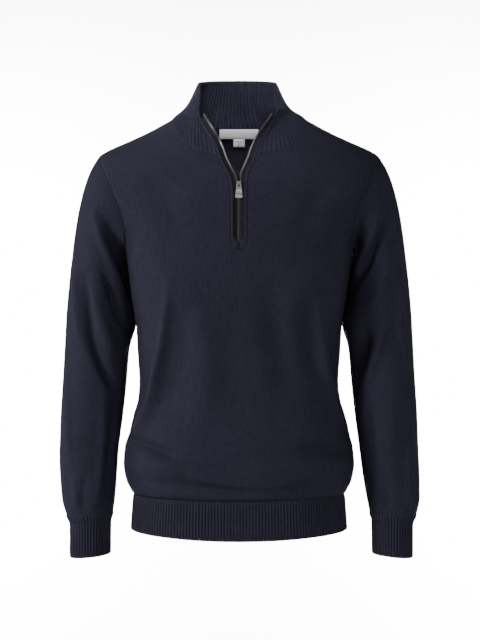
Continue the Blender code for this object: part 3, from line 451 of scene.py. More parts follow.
def seamDip(grid, edges):
    # how far the cloth sinks into its seams, from the distance to each edge that has one
    rows, columns = grid.shape[:2]
    down, across = runLength(grid), runLength(grid, axis=1)
    distance = {"start": down, "end": down[-1:] - down, "inner": across,
                "outer": across[:, -1:] - across}
    dip = np.zeros((rows, columns))
    for edge, window in edges.items():
        dip = np.maximum(dip, np.exp(-(distance[edge] / body["seamDipWidth"]) ** 2) * window)
    return dip * body["seamDip"]


def clothPattern(grid, start=0.0):
    # places on the flat cloth: across along the courses, up along the wales
    step = np.diff(grid, axis=1)
    level = step.copy()
    level[..., 2] = 0
    way = unit(level)
    across = np.concatenate([np.zeros((len(grid), 1)), np.cumsum((step * way).sum(-1), axis=1)], 1)
    rise = np.diff(grid, axis=0)
    flat = np.concatenate([way, way[:, -1:]], axis=1)[:-1]
    square = rise - flat * (rise * flat).sum(-1, keepdims=True)
    up = np.concatenate([np.zeros((1, grid.shape[1])),
                         np.cumsum(np.linalg.norm(square, axis=-1), axis=0)])
    return across + start, up


slit = {
    "bottom": -215.5,
    "start": -214.0,
    "offset": 11.0,                     # from the teeth's line to the panel's edge
    "endOffset": 7.5,
    "widens": 16.0,
}


def slitOffset(heights):
    widening = ease((np.asarray(heights) - slit["start"]) / slit["widens"])
    return slit["endOffset"] + (slit["offset"] - slit["endOffset"]) * widening


bodyCreases = {
    "front": [
        (((-109, -270), (-114, -314), (-117, -357), (-125, -398), (-130, -427), (-141, -460),
         (-154, -484), (-167, -507)), 9, 11.5, -0.5),
        (((-108, -276), (-112, -314), (-115, -357), (-123, -398), (-128, -427), (-139, -460),
         (-152, -484), (-164, -503)), 4.5, 2.6),
        (((-90, -290), (-90, -350), (-102, -410), (-110, -458)), 16, -3.5),
        (((-62, -300), (-49, -400), (-66, -500)), 26, 8.5),
        (((40, -255), (56, -331), (68, -390), (80, -460)), 24, -9.0),
        (((121, -275), (126, -335), (132, -390), (146, -441), (160, -480), (171, -503)), 7, 8.5),
        (((103, -285), (108, -363), (126, -430)), 14, -8.5),
        (((146, -310), (149, -380), (158, -430)), 8, -7.0),
        (((-170, -508), (-128, -520), (-96, -531)), 7, -10.5),
        (((-160, -538), (-120, -547), (-76, -556)), 14, 8.5),
        (((-154, -571), (-82, -577), (-12, -586), (46, -590)), 8, -10.5),
        (((92, -524), (135, -522), (174, -531)), 10, -11.5),
        (((50, -586), (110, -579), (162, -566)), 10, -9.0),
        (((-170, -216), (-120, -250), (-66, -304)), 22, 5.0),
        (((168, -220), (122, -258), (76, -304)), 20, 5.0),
        (((-150, -96), (-112, -140), (-86, -206)), 24, -4.5),
        (((146, -104), (112, -150), (92, -214)), 22, -5.0),
    ],
    "back": [
        (((-108, -255), (-124, -350), (-150, -450), (-167, -503)), 11, 9.0, -0.5),
        (((112, -262), (128, -352), (148, -440), (165, -498)), 10, 10.0, 0.5),
        (((-86, -290), (-80, -370), (-100, -450)), 20, -9.0),
        (((84, -300), (90, -380), (112, -455)), 19, -8.5),
        (((-38, -170), (-12, -300), (-28, -440)), 26, 6.5),
        (((30, -230), (46, -340), (30, -470)), 24, -6.5),
        (((-168, -512), (-112, -530), (-60, -526)), 9, -9.0),
        (((56, -533), (118, -528), (170, -511)), 9, -10.0),
        (((-146, -572), (-40, -586), (62, -584), (146, -569)), 9, -8.5),
        (((-166, -225), (-110, -262), (-58, -292)), 20, 5.0),
        (((164, -230), (120, -264), (64, -302)), 18, 5.0),
        (((-92, -58), (0, -86), (94, -60)), 16, -4.5),
    ],
}


def panelWindow(rows, columns):
    hemFade, topFade, armholeFade = body["creaseFade"]
    row = np.arange(rows)[:, None] / (rows - 1)
    column = np.arange(columns)[None, :] / (columns - 1)
    return ease(row * hemFade) * ease((1 - row) * topFade) * ease((1 - column) * armholeFade)


def makePanel(name, side, material):
    grid, slitRow = panelPlaces(side)
    rows, columns = grid.shape[:2]
    window = panelWindow(rows, columns)
    gap = body["seamGap"] / 2
    neckColumns = body["neckColumns"][side]
    seam, shared = armholeSeam(side)
    inward = unit(grid[slitRow:, -2] - grid[slitRow:, -1])
    dip = seamDip(grid, {"start": 0.4, "end": 1.0, "outer": 1.0})
    across, up = clothPattern(grid)
    outers, ways, patterns = [], [], []
    for mirror in (-1, 1):
        flip = np.array([mirror, 1, 1])
        half, normal = grid * flip, torsoNormal(grid, side) * flip
        lift = window * creaseHeight(half[..., 0], half[..., 2], bodyCreases[sideNames[side]])
        outer = half + normal * (lift - dip)[..., None]
        way = gridNormals(outer)
        way *= np.sign((way * normal).sum(-1, keepdims=True))
        way[:slitRow, -1] = normal[:slitRow, -1]
        way[-1] = normal[-1]
        way[slitRow:, -1] = shared * flip
        outer[slitRow:, -1] = (seam + inward * gap - shared * dip[slitRow:, -1:]) * flip
        outer[:slitRow + 1, -1, 1] = side * gap
        outer[-1, neckColumns:, 1] = side * gap
        outers.append(outer)
        ways.append(way)
        patterns.append(np.stack([mirror * across, up], axis=-1) * mm)
    joined = slice(0, slitRow + 1) if side < 0 else slice(0, rows)
    ways[0][joined, 0] = unit(ways[0][joined, 0] + ways[1][joined, 0])
    left = np.arange(rows * columns).reshape(rows, columns)
    right = left + rows * columns
    right[joined, 0] = left[joined, 0]
    quads = []
    for index in (left, right[:, ::-1]):
        quads.append(np.stack([index[:-1, :-1], index[:-1, 1:], index[1:, 1:], index[1:, :-1]],
                              axis=-1).reshape(-1, 4))
    quads = np.concatenate(quads)
    outer = np.concatenate(outers).reshape(-1, 3)
    inner = outer - np.concatenate(ways).reshape(-1, 3) * body["wall"]
    cloth = np.concatenate(patterns).reshape(-1, 2)
    count = len(outer)
    edges = np.concatenate([quads[:, [turn, (turn + 1) % 4]] for turn in range(4)])
    codes = edges[:, 0] * count + edges[:, 1]
    rims = edges[~np.isin(codes, edges[:, 1] * count + edges[:, 0])]
    rims = np.stack([rims[:, 1], rims[:, 0], rims[:, 0] + count, rims[:, 1] + count], axis=1)
    quads = np.concatenate([quads, quads[:, ::-1] + count, rims])
    used, quads = np.unique(quads, return_inverse=True)
    quads = quads.reshape(-1, 4)
    points = np.concatenate([outer, inner])[used]
    return makeMesh(name, points, quads, np.concatenate([cloth, cloth])[used], quads, material)


# sleeves and cuffs

sleeve = {
    "columns": 144,
    "rows": 200,
    "armholeBlend": 3.0,                # in steps
    "wayBlend": 3,                      # to each step
    "endFade": 0.8,
    "faceEdge": 2,
    "rim": 0.2,
    "swing": {-1: -6.0, 1: 1.6},
    "swingStart": -520.0,
    "swingLength": 120.0,
    "shape": (                          # step, outer x and z, inner x and z, depth, middle y
        (0, 222, -61, 181, -215, 66, 0), (1, 237.3, -86, 182.3, -219, 66, 3),
        (2, 249.7, -119, 180.8, -226, 66, 7), (3, 259.8, -162, 177.9, -238, 65, 12),
        (4, 267.8, -215, 175.5, -258, 63, 17), (5, 274.8, -275, 171.2, -290, 61, 20),
        (6, 278.8, -326, 165.8, -327, 59, 19), (7, 280.2, -370, 175.9, -370, 58, 12),
        (8, 281.8, -420, 179.6, -420, 55, 2), (9, 284, -470, 184.2, -470, 52, -7),
        (10, 285, -520, 190.4, -520, 49, -14), (11, 286, -565, 195.4, -565, 46, -18),
        (12, 285.5, -603, 200.5, -601, 42, -21), (13, 279.5, -631, 205, -626, 38, -23),
    ),
    "creases": {
        -1: {
            "front": [
                (((-207, -162), (-194, -206), (-180, -252), (-172, -290)), 9, -14.0),
                (((-228, -138), (-218, -185), (-201, -230), (-181, -278), (-167, -318)), 7, 7.5),
                (((-213, -248), (-201, -280), (-189, -315), (-175, -341)), 6, -12.0),
                (((-231, -262), (-219, -315), (-203, -362), (-184, -385)), 12, 7.0),
                (((-241, -256), (-240, -301), (-235, -341), (-220, -381), (-204, -414),
                 (-190, -438)), 8, -14.0),
                (((-208, -425), (-209, -496), (-214, -574), (-222, -616)), 8, 5.0, 0.6),
                (((-194, -448), (-199, -520), (-208, -592)), 10, -7.5),
                (((-256, -186), (-259, -252), (-258, -301), (-254, -352)), 6, 5.0),
                (((-272, -385), (-270, -470), (-265, -542)), 6, 4.0),
                (((-238, -560), (-242, -598), (-240, -624)), 6, -3.0),
                (((-256, -580), (-254, -604), (-250, -626)), 5, 3.0),
            ],
            "back": [
                (((-262, -288), (-236, -345), (-196, -384)), 9, -11.0),
                (((-254, -224), (-222, -268), (-184, -302)), 8, -9.0),
                (((-268, -430), (-240, -456), (-204, -452)), 9, -9.0),
                (((-250, -158), (-226, -205), (-196, -242)), 9, 7.0),
                (((-240, -480), (-235, -550), (-238, -612)), 9, 5.0),
                (((-214, -500), (-220, -570), (-229, -616)), 8, -5.0),
            ],
        },
        1: {
            "front": [
                (((192, -156), (181, -200), (173, -251), (168, -307)), 9, -14.0),
                (((225, -148), (206, -194), (190, -232), (175, -271)), 7, 7.5),
                (((237, -138), (220, -190), (209, -222), (190, -254), (177, -277)), 6, -10.5),
                (((240, -196), (228, -260), (208, -312)), 12, 6.0),
                (((205, -332), (194, -368), (186, -407)), 12, -14.0),
                (((233, -322), (220, -364), (209, -395), (197, -432)), 7, 7.0),
                (((199, -440), (202, -510), (208, -582)), 9, -6.0),
                (((246, -182), (253, -232), (254, -282), (256, -339), (265, -375), (272, -404)), 6,
                 5.5),
                (((271, -488), (267, -543), (268, -590), (262, -624)), 6, 4.5),
                (((240, -440), (236, -500), (240, -560)), 14, 3.0),
                (((232, -572), (230, -604), (234, -626)), 6, -3.0),
            ],
            "back": [
                (((262, -278), (232, -335), (188, -367)), 9, -10.0),
                (((256, -216), (226, -254), (186, -284)), 8, -9.0),
                (((268, -440), (238, -470), (205, -462)), 9, -8.0),
                (((248, -150), (222, -196), (192, -232)), 9, 7.0),
                (((244, -494), (238, -560), (242, -616)), 9, 5.0),
                (((216, -506), (222, -566), (232, -618)), 8, -5.5),
            ],
        },
    },
}
cuff = {
    "ribs": 44,
    "rows": 24,
    "rim": 3,
    "shape": (
        (0, 279.5, -631, 205, -626, 38, -23), (1, 272.3, -648, 210, -643, 33, -24),
        (2, 272, -696, 210.5, -690, 33, -25),
    ),
}
rib = {
    "pointsEach": 6,
    "wall": 2.0,
    "height": 2.0,
    "insideHeight": 0.9,
    "roundness": 0.7,
    "startShare": 0.25,                 # how proud the ribs are where they start
    "startLength": 0.14,
}


def tube(table, steps, columns, mirror):
    # rings from the inner line round the back to the outer line and the front
    value = [lookUp(table, column, steps)[:, None] for column in range(7)]
    turn = pi + np.linspace(0, 2 * pi, columns, endpoint=False)[None, :]
    outer, inner = (1 + np.cos(turn)) / 2, (1 - np.cos(turn)) / 2
    out = value[1] * outer + value[3] * inner
    height = value[2] * outer + value[4] * inner
    deep = value[6] - value[5] * np.sin(turn)
    swing = ease((sleeve["swingStart"] - height) / sleeve["swingLength"])
    return np.stack([mirror * (out + sleeve["swing"][mirror] * swing), deep, height], axis=-1)


def outward(grid):
    normals = gridNormals(grid, closed=True)
    away = grid - grid.mean(axis=1, keepdims=True)
    return normals * np.sign((normals * away).sum(-1, keepdims=True))


def ringPattern(grid):
    # distance round each ring, measured both ways from the outer line
    around = runLength(np.concatenate([grid, grid[:, :1]], axis=1), axis=1)
    return around - around[:, [grid.shape[1] // 2]]


def armholeRing(mirror):
    front, frontWay = armholeSeam(-1)
    back, backWay = armholeSeam(1)
    points = np.concatenate([back, front[-2:0:-1]])
    ways = np.concatenate([backWay, frontWay[-2:0:-1]])
    flip = np.array([mirror, 1, 1])
    return points * flip, ways * flip


def makeSleeve(name, mirror, material):
    steps = np.linspace(0, sleeve["shape"][-1][0], sleeve["rows"])
    grid = tube(sleeve["shape"], steps, sleeve["columns"], mirror)
    ring, ringWays = armholeRing(mirror)
    grid = grid + (ring - grid[0]) * ease(1 - steps / sleeve["armholeBlend"])[:, None, None]
    around = ringPattern(grid)
    normals = outward(grid)
    window = ease(steps) * ease((steps[-1] - steps) / sleeve["endFade"])
    for side, face in sideNames.items():
        facing = ease(side * normals[..., 1] * sleeve["faceEdge"])
        lift = creaseHeight(grid[..., 0], grid[..., 2], sleeve["creases"][mirror][face])
        grid = grid + normals * (lift * facing * window[:, None])[..., None]
    dip = seamDip(grid, {"start": 1.0, "end": 0.4})
    away = unit(grid[1] - grid[0])
    normals = outward(grid)
    blend = ease(1 - steps * sleeve["wayBlend"])[:, None, None]
    normals = unit(normals * (1 - blend) + ringWays * blend)
    grid = grid - normals * dip[..., None]
    grid[0] = ring - ringWays * dip[0][:, None] + away * body["seamGap"] / 2
    grid[-1, :, 2] += body["seamGap"] / 2
    normals[-1] = levelled(normals[-1])
    return wallPiece(name, grid, grid - normals * body["wall"], around, material, closed=True,
                     roundness=sleeve["rim"])


def ribWave(columns, shift=0.0):
    phase = np.arange(columns) / rib["pointsEach"] + shift
    return np.abs(np.sin(pi * phase)) ** rib["roundness"]


def ribFaces(grid, ways, sunk=None, length=1.0, share=1.0):
    # outer and inner face of a ribbed wall; ribs grow out of the seam over its first part
    rows, columns = grid.shape[:2]
    grown = ease(np.linspace(0, 1, rows) / (rib["startLength"] * length))[:, None]
    grown = rib["startShare"] + (1 - rib["startShare"]) * grown
    rise = rib["height"] * ribWave(columns)[None] * grown * share
    if sunk is None:
        sunk = rib["wall"] + rib["insideHeight"] * (ribWave(columns, 0.5) - 0.5)
    return grid + ways * rise[..., None], grid - ways * sunk[None, :, None]


def ribAcross(rows, columns):
    # places across the flat rib knit
    across = np.arange(columns)[None, :] / rib["pointsEach"] * knit["ribPitch"]
    return np.repeat(across, rows, axis=0)


def makeCuff(name, mirror, material):
    columns = cuff["ribs"] * rib["pointsEach"]
    steps = np.linspace(0, cuff["shape"][-1][0], cuff["rows"])
    grid = tube(cuff["shape"], steps, columns, mirror)
    grid[0, :, 2] -= body["seamGap"] / 2
    outer, inner = ribFaces(grid, levelled(outward(grid)))
    across = ribAcross(len(grid), columns + 1)
    return wallPiece(name, outer, inner, across, material, closed=True, rim=cuff["rim"])


# hem band

hem = {
    "ribs": 95,                         # to each half
    "rows": 20,
}


def makeHem(name, side, material):
    columns = hem["ribs"] * rib["pointsEach"] + 1
    parts = np.linspace(-1, 1, columns)
    centre = body["hemSeam"][1]
    out = sectionOut(centre, np.abs(parts), side) * np.sign(parts)
    level = onTorso(out, np.full(columns, centre), side)
    ways = levelled(torsoNormal(level, side))
    top = hemDip(parts, body["hemSeam"]) - body["seamGap"]
    bottom = hemDip(parts, body["hemEdge"])
    rows = []
    for down in np.linspace(0, 1, hem["rows"]):
        place = level + ways * body["hemSpread"] * down
        place[:, 2] = top + (bottom - top) * down
        rows.append(place)
    outer, inner = ribFaces(np.stack(rows), ways[None])
    for face in (outer, inner):
        face[:, [0, -1], 1] = side * body["seamGap"] / 2
    return wallPiece(name, outer, inner, ribAcross(hem["rows"], columns), material)


# collar

collar = {
    "split": 2,                         # columns to each column of the neckline
    "rows": 26,
    "plainEdge": 0.06,                  # lengths round are shares of one half
    "wayReach": 0.09,
    "edgeReach": 0.16,
    "edgeGap": 0.9,
    "baseReach": 5,
    "lean": -2.6,
    "leanStart": 0.4,
    "leanLevel": 0.42,
    "foldScale": (190.0, 75.0),         # from share round and level to millimetres
    "foldStart": 0.05,
    "ribAtFront": (0.6, 0.35),          # how high ribs are where the front is stretched
    "ribReach": 0.8,
    "ribStart": 0.7,
    "folds": {                          # place round, level
        "left": [
            (((2, 73), (19, 66), (34, 56), (51, 45), (72, 37)), 5, 3.4),
            (((4, 60), (19, 53), (34, 44), (51, 35), (72, 28)), 6, -3.8),
        ],
        "right": [
            (((2, 73), (19, 66), (34, 56), (51, 45), (72, 37)), 5, 4.4),
            (((6, 50), (22, 42), (38, 33), (60, 24)), 11, -7.5),
        ],
    },
    "shape": (          # share round, then crease share, x, y, z, then top x, y, z
        (0.00, 0.60, 56, -75, -24, 63, -64, -7), (0.12, 0.60, 68, -60, -7, 62, -52, 10),
        (0.26, 0.50, 76, -46, -1, 60, -36.5, 28), (0.40, 0.45, 83, -24, 9, 61, -17, 44.5),
        (0.52, 0.42, 82.5, 2, 15.5, 62, 8, 56), (0.70, 0.38, 71, 39, 14, 53.5, 38, 62.5),
        (0.85, 0.36, 40, 63, 14, 30, 56, 66.5), (1.00, 0.35, 0, 70, 14, 0, 61, 67.5),
    ),
}


def neckRing():
    front = onTorso(*neckline(-1), -1)
    back = onTorso(*neckline(1), 1)[::-1]
    frontWay, backWay = torsoNormal(front, -1), torsoNormal(back, 1)
    front[-1, 1] = back[0, 1] = 0
    return np.concatenate([front, back[1:]]), np.concatenate([frontWay, backWay[1:]])


def splitEvenly(rows, split):
    at = np.linspace(0, len(rows) - 1, (len(rows) - 1) * split + 1)
    return np.stack([np.interp(at, np.arange(len(rows)), rows[:, axis]) for axis in range(3)], -1)


def collarHalf(levels):
    ring, ways = neckRing()
    base, baseWays = splitEvenly(ring, collar["split"]), unit(splitEvenly(ways, collar["split"]))
    along = np.linspace(0, 1, len(base))
    value = [lookUp(collar["shape"], column, along) for column in range(8)]
    base[:, 2] += body["seamGap"] / 2
    grid = np.zeros((len(levels), len(base), 3))
    for column, place in enumerate(base):
        for axis in range(3):
            heights = [place[axis], value[2 + axis][column], value[5 + axis][column]]
            grid[:, column, axis] = smooth([0, value[1][column], 1], heights, levels)
    heights = zipper["seam"] + (zipper["top"] - zipper["seam"]) * levels
    edge, edgeWays = zipPlace(heights, slit["offset"] + collar["edgeGap"] * levels)
    edge[0] = base[0]
    fade = 1 - ease(along / collar["edgeReach"])
    return grid + (edge - grid[:, 0])[:, None, :] * fade[None, :, None], baseWays, edgeWays


def makeCollar(name, material):
    levels = np.linspace(0, 1, collar["rows"])
    right, rightWays, edgeWays = collarHalf(levels)
    flip = np.array([-1, 1, 1])
    grid = np.concatenate([right * flip, right[:, -2::-1]], axis=1)
    baseWays = np.concatenate([rightWays * flip, rightWays[-2::-1]])
    normals = gridNormals(grid)
    normals *= np.sign((normals * (grid - grid.mean(axis=(0, 1)))).sum())
    low = np.clip(1 - levels * collar["baseReach"], 0, 1)[:, None, None]
    normals = unit(normals * (1 - low) + baseWays * low)
    columns = grid.shape[1]
    share = np.linspace(0, 2, columns)
    share = np.minimum(share, 2 - share)
    fade = (1 - ease(share / collar["wayReach"]))[None, :, None]
    onLeft = np.arange(columns)[None, :] < columns / 2
    turned = np.where(onLeft[..., None], flip, 1)
    normals = unit(normals * (1 - fade) + edgeWays[:, None, :] * turned * fade)
    lean = ease(share / collar["edgeReach"] - collar["leanStart"])
    grid[..., 0] += collar["lean"] * ease(levels / collar["leanLevel"])[:, None] * lean
    wide, tall = collar["foldScale"]
    around, high = np.meshgrid(share * wide, levels * tall)
    fold = np.where(onLeft, *(creaseHeight(around, high, collar["folds"][side]) for side in sides))
    grid = grid + normals * (fold * ease(share / collar["foldStart"]))[..., None]
    plain = ease(share / collar["plainEdge"] - 1)
    sunk = rib["wall"] + rib["height"] * plain * ribWave(columns, 0.5)
    low = np.where(onLeft, *collar["ribAtFront"])
    height = low + (1 - low) * ease(share / collar["ribReach"])
    outer, inner = ribFaces(grid, normals, sunk, collar["ribStart"], height)
    return wallPiece(name, outer, inner, ribAcross(len(grid), columns), material)


# zip: tapes, bindings and teeth follow one line, turned back with the collar near its top

zipper = {
    "line": (                           # height, out, right half
        (-240, 1.3), (-125, 1.3), (-119, 1.5), (-112, 2.8), (-102, 5.5), (-87, 12.5), (-71.5, 20),
        (-55, 25.5), (-40, 32), (-21.7, 45), (-3, 57),
    ),
    "seam": -64.0,
    "top": -3.0,
    "turnStart": -52.0,
    "turn": 50.0,
    "end": -205.0,
    "rowPitch": 1.6,
}
binding = {
    "inner": 6.5,
    "meets": -1.0,
    "closedBelow": -205.0,
    "opens": 8.0,
    "over": 1.2,
    "wall": 2.8,
    "outerGap": -0.4,                   # over the panel's edge
    "steps": 14,
    "spread": 0.6,                      # share of the collar's own gap at the top
    "squareness": (0.8, 0.9),
}
tape = {
    "inner": 0.7,
    "outer": 12.5,
    "outerTop": 10.0,
    "narrows": -45.0,
    "depth": 2.9,
    "wall": 0.8,
    "shares": (1.0, 0.75, 0.5, 0.28),   # points across the flat part
    "cordRadius": 0.55,
    "cordTurn": (40, 320),
    "cordPoints": 6,
    "cordProud": 0.15,
}
tooth = {
    "pitch": 2.1,
    "outline": (                        # across the tape from head to heel, length along it
        (-1.6, 0.805), (-1.25, 1.15), (-0.5, 1.058), (-0.15, 0.75), (0.6, 1.35), (1.2, 1.08),
    ),
    "layers": ((-0.5, 0.8), (-0.36, 1.0), (0.36, 1.0), (0.5, 0.8)),     # share of the wall, size
    "wall": 1.9,
    "depth": 2.0,
    "sharp": 40,
}


def zipLine(heights, offset, side=1):
    heights = np.asarray(heights, float)
    out, above, below = (lookUp(zipper["line"], 1, heights + nudge) for nudge in (0, 1, -1))
    square = unit(np.stack([np.full(len(heights), 2.0), below - above], axis=-1))
    offset = np.asarray(offset, float) * np.ones(len(heights))
    return side * (out + square[:, 0] * offset), heights + square[:, 1] * offset


def zipPlace(heights, offset, mirror=1):
    # points beside the teeth on the cloth's face, and the way out of the cloth there
    heights = np.asarray(heights, float)
    points = onTorso(*zipLine(heights, offset), -1)
    ways = torsoNormal(points, -1)
    line = onTorso(*zipLine(heights, 0), -1)
    axis = unit(onTorso(*zipLine(heights + 1, 0), -1) - onTorso(*zipLine(heights - 1, 0), -1))
    turn = ease((heights - zipper["turnStart"]) / (zipper["top"] - zipper["turnStart"]))
    turn = radians(zipper["turn"]) * turn[:, None]
    turned = []
    for vectors in (points - line, ways):
        along = (axis * vectors).sum(axis=1, keepdims=True)
        turned.append(vectors * np.cos(turn) + np.cross(axis, vectors) * np.sin(turn)
                      + axis * along * (1 - np.cos(turn)))
    flip = np.array([mirror, 1, 1])
    return (line + turned[0]) * flip, turned[1] * flip


def zipHeights(start, end, pitch):
    # heights spaced evenly along the line of the teeth
    fine = np.linspace(start, end, 1200)
    run = runLength(onTorso(*zipLine(fine, 0), -1))
    return np.interp(np.arange(0, run[-1] + 1e-6, pitch), run, fine)


def sweep(name, mirror, heights, offsets, tops, material):
    # a closed section carried along the zip; offsets and tops are rows x section points
    grid = []
    for column in range(offsets.shape[1]):
        place, way = zipPlace(heights, offsets[:, column], mirror)
        grid.append(place + way * tops[:, [column]])
    grid = np.stack(grid, axis=1)
    rows, columns = grid.shape[:2]
    quads, pattern = gridQuads(rows, columns, False, True)
    around = runLength(np.concatenate([grid, grid[:, :1]], axis=1), axis=1)
    along = runLength(np.concatenate([grid, grid[:, :1]], axis=1))
    cloth = np.stack([around, along], axis=-1).reshape(-1, 2) * mm
    points = grid.reshape(-1, 3)
    half = columns // 2
    for row, flip in ((0, True), (rows - 1, False)):
        ring = np.arange(columns)
        caps = np.stack([ring[:half - 1], ring[1:half], (columns - 1 - ring)[1:half],
                         (columns - 1 - ring)[:half - 1]], axis=1)
        caps = caps[:, ::-1] if not flip else caps
        quads = np.concatenate([quads, caps + row * columns])
        pattern = np.concatenate([pattern, caps + row * (columns + 1)])
    return makeMesh(name, points, quads, cloth, pattern, material)


def roundSection(inner, outer, top, wall, steps):
    # a flattened round section between two offsets, rows x points
    turn = np.linspace(0, 2 * pi, steps, endpoint=False) + pi / steps
    across, deep = (np.sign(part) * np.abs(part) ** power
                    for part, power in zip((np.cos(turn), np.sin(turn)), binding["squareness"]))
    middle, half = (inner + outer) / 2, (outer - inner) / 2
    offsets = middle[:, None] + half[:, None] * across[None, :]
    return offsets, top - wall / 2 + wall / 2 * deep[None, :] * np.ones((len(inner), 1))


def makeBinding(name, mirror, material):
    heights = zipHeights(slit["start"], zipper["top"], zipper["rowPitch"])
    opened = ease((heights - binding["closedBelow"]) / binding["opens"])
    inner = binding["meets"] + (binding["inner"] - binding["meets"]) * opened
    onCollar = np.clip((heights - zipper["seam"]) / (zipper["top"] - zipper["seam"]), 0, 1)
    outer = slitOffset(heights) - binding["outerGap"]
    outer = outer + collar["edgeGap"] * onCollar * binding["spread"]
    offsets, tops = roundSection(inner, outer, binding["over"], binding["wall"], binding["steps"])
    return sweep(name, mirror, heights, offsets, tops, material)


def makeTape(name, mirror, material):
    # flat tape with a rolled cord along its inner edge
    heights = zipHeights(zipper["end"], zipper["top"], zipper["rowPitch"])
    narrowed = ease((heights - tape["narrows"]) / (zipper["top"] - tape["narrows"]))
    outer = tape["outer"] + (tape["outerTop"] - tape["outer"]) * narrowed
    inner, top, wall = tape["inner"], -tape["depth"], tape["wall"]
    flat = [inner + (outer - inner) * part for part in tape["shares"]]
    offsets, tops = flat.copy(), [top] * len(flat)
    first, last = tape["cordTurn"]
    for turn in np.linspace(radians(first), radians(last), tape["cordPoints"]):
        offsets.append(inner + tape["cordRadius"] * (1 + cos(turn)) + 0 * outer)
        tops.append(top - wall / 2 + (wall / 2 + tape["cordProud"]) * sin(turn))
    offsets += flat[::-1]
    tops += [top - wall] * len(flat)
    tops = np.tile(tops, (len(heights), 1))
    return sweep(name, mirror, heights, np.stack(offsets, 1), tops, material)


def toothRings():
    # rings across, along and out of the tape
    half = np.array(tooth["outline"]) * (1, 0.5)
    outline = np.concatenate([half, half[::-1] * (1, -1)])
    centre = outline.mean(axis=0)
    rings = []
    for deep, size in tooth["layers"]:
        ring = centre + (outline - centre) * size
        rings.append(np.concatenate([ring, np.full((len(ring), 1), deep * tooth["wall"])], axis=1))
    return rings


def makeTeeth(name, mirror, material):
    rings = toothRings()
    template, quads = stackRings(rings, "open")
    count = len(rings[0])
    for ring, flip in ((0, True), (len(rings) - 1, False)):
        for corner in range(count // 2 - 1):
            cell = (corner, corner + 1, count - 2 - corner, count - 1 - corner)
            cell = cell[::-1] if flip else cell
            quads.append(tuple(ring * count + index for index in cell))
    heights = zipHeights(zipper["end"], zipper["top"], tooth["pitch"] / 2)
    heights = heights[(0 if mirror < 0 else 1)::2]
    line, way = zipPlace(heights, 0, mirror)
    across = unit(zipPlace(heights, 1.0, mirror)[0] - line)
    ways = (across, np.cross(way, across), way)
    points = (line - way * (tooth["depth"] + tooth["wall"] / 2))[:, None, :]
    for axis in range(3):
        points = points + ways[axis][:, None, :] * template[None, :, [axis]]
    starts = np.arange(len(heights))[:, None, None] * len(template)
    quads = (np.array(quads)[None] + starts).reshape(-1, 4)
    points = points.reshape(-1, 3)
    made = makeMesh(name, points, quads, points[:, [0, 2]] * mm, quads, material)
    made.data.set_sharp_from_angle(angle=radians(tooth["sharp"]))
    return made


# slider and pull tab, made upright round their own origin and laid on the zip's slope

slider = {
    "height": -115.0,
    "slopeSpan": 8.0,
    "plate": 1.1,
    "channel": 2.9,
    "outline": ((3.44, 5.5), (4.3, 2.475), (3.7, -1.1), (3.404, -5.5)),     # right half
    "wedge": ((-1.1, 5.1), (1.1, 5.1), (0.5, 2.5), (-0.5, 2.5)),
    "wedgeOver": 0.2,
    "lip": ((2.8, 1.65), (3.663, 1.65), (3.441, -4.9), (2.6, -4.9)),        # holds the teeth
    "lipDeep": (0.1, 0.7, 0.8),         # before the front plate, before the back one, wall
    "corners": {"plate": 1.0, "wedge": 0.3, "lip": 0.25},
    "bevels": {"plate": 0.3, "wedge": 0.1, "lip": 0.15},
    "crown": (1.9, 6.6, 3.5, 0.9),      # width, length, rise, wire
    "crownSunk": 0.25,
    "crownSteps": (17, 12),             # along the wire, round it
    "pivotRise": 1.3,
    "sharp": 40,
}
pullTab = {
    "length": 25.0,
    "topWidth": 6.4,
    "bottomWidth": 12.6,
    "wall": 1.5,
    "levels": 12,
    "flare": 0.8,
    "softened": 0.55,                   # corners, twice
    "eye": (3.4, 0.75, 5.6),            # width, top and bottom below the bar
    "eyeSquare": 0.45,
    "rim": (0.35, 1.35, 0.24, 0.1),     # from the edge, to, how proud, slope and root
    "bevel": 0.28,
    "eyeBevel": 0.25,
    "sharp": 50,
}


def sliderPlace():
    heights = slider["height"] + np.array([-slider["slopeSpan"], 0, slider["slopeSpan"]])
    depth = torsoDepth(np.zeros(3), heights, -1)
    lean = atan2(depth[2] - depth[0], heights[2] - heights[0])
    return np.array([0, depth[1], slider["height"]]), -lean


def layOnZip(points, rise=0.0):
    centre, lean = sliderPlace()
    turned = np.array(points, float)
    deep, high = turned[..., 1].copy(), turned[..., 2].copy()
    turned[..., 1] = deep * cos(lean) - high * sin(lean)
    turned[..., 2] = deep * sin(lean) + high * cos(lean)
    return turned + centre + np.array([0, -cos(lean), -sin(lean)]) * rise


def inset(loop, amount, about):
    away = loop - about
    length = np.linalg.norm(away, axis=1, keepdims=True)
    return about + away * (length - amount) / length


def standing(loop, deep):
    # a flat loop across and up, set at a depth
    return np.stack([loop[:, 0], np.full(len(loop), deep), loop[:, 1]], axis=-1)


def plate(outline, corner, top, bottom, bevel, softness=0.3):
    # a flat plate with rounded corners and edges
    outline = roundedOutline(outline, corner)
    centre = outline.mean(axis=0)
    steps = ((0, bevel), (0.3, softness * bevel), (1, 0))
    levels = [(top + bevel * share, amount) for share, amount in steps]
    levels += [(bottom - bevel * share, amount) for share, amount in steps[::-1]]
    return stackRings([standing(inset(outline, amount, centre), deep) for deep, amount in levels])


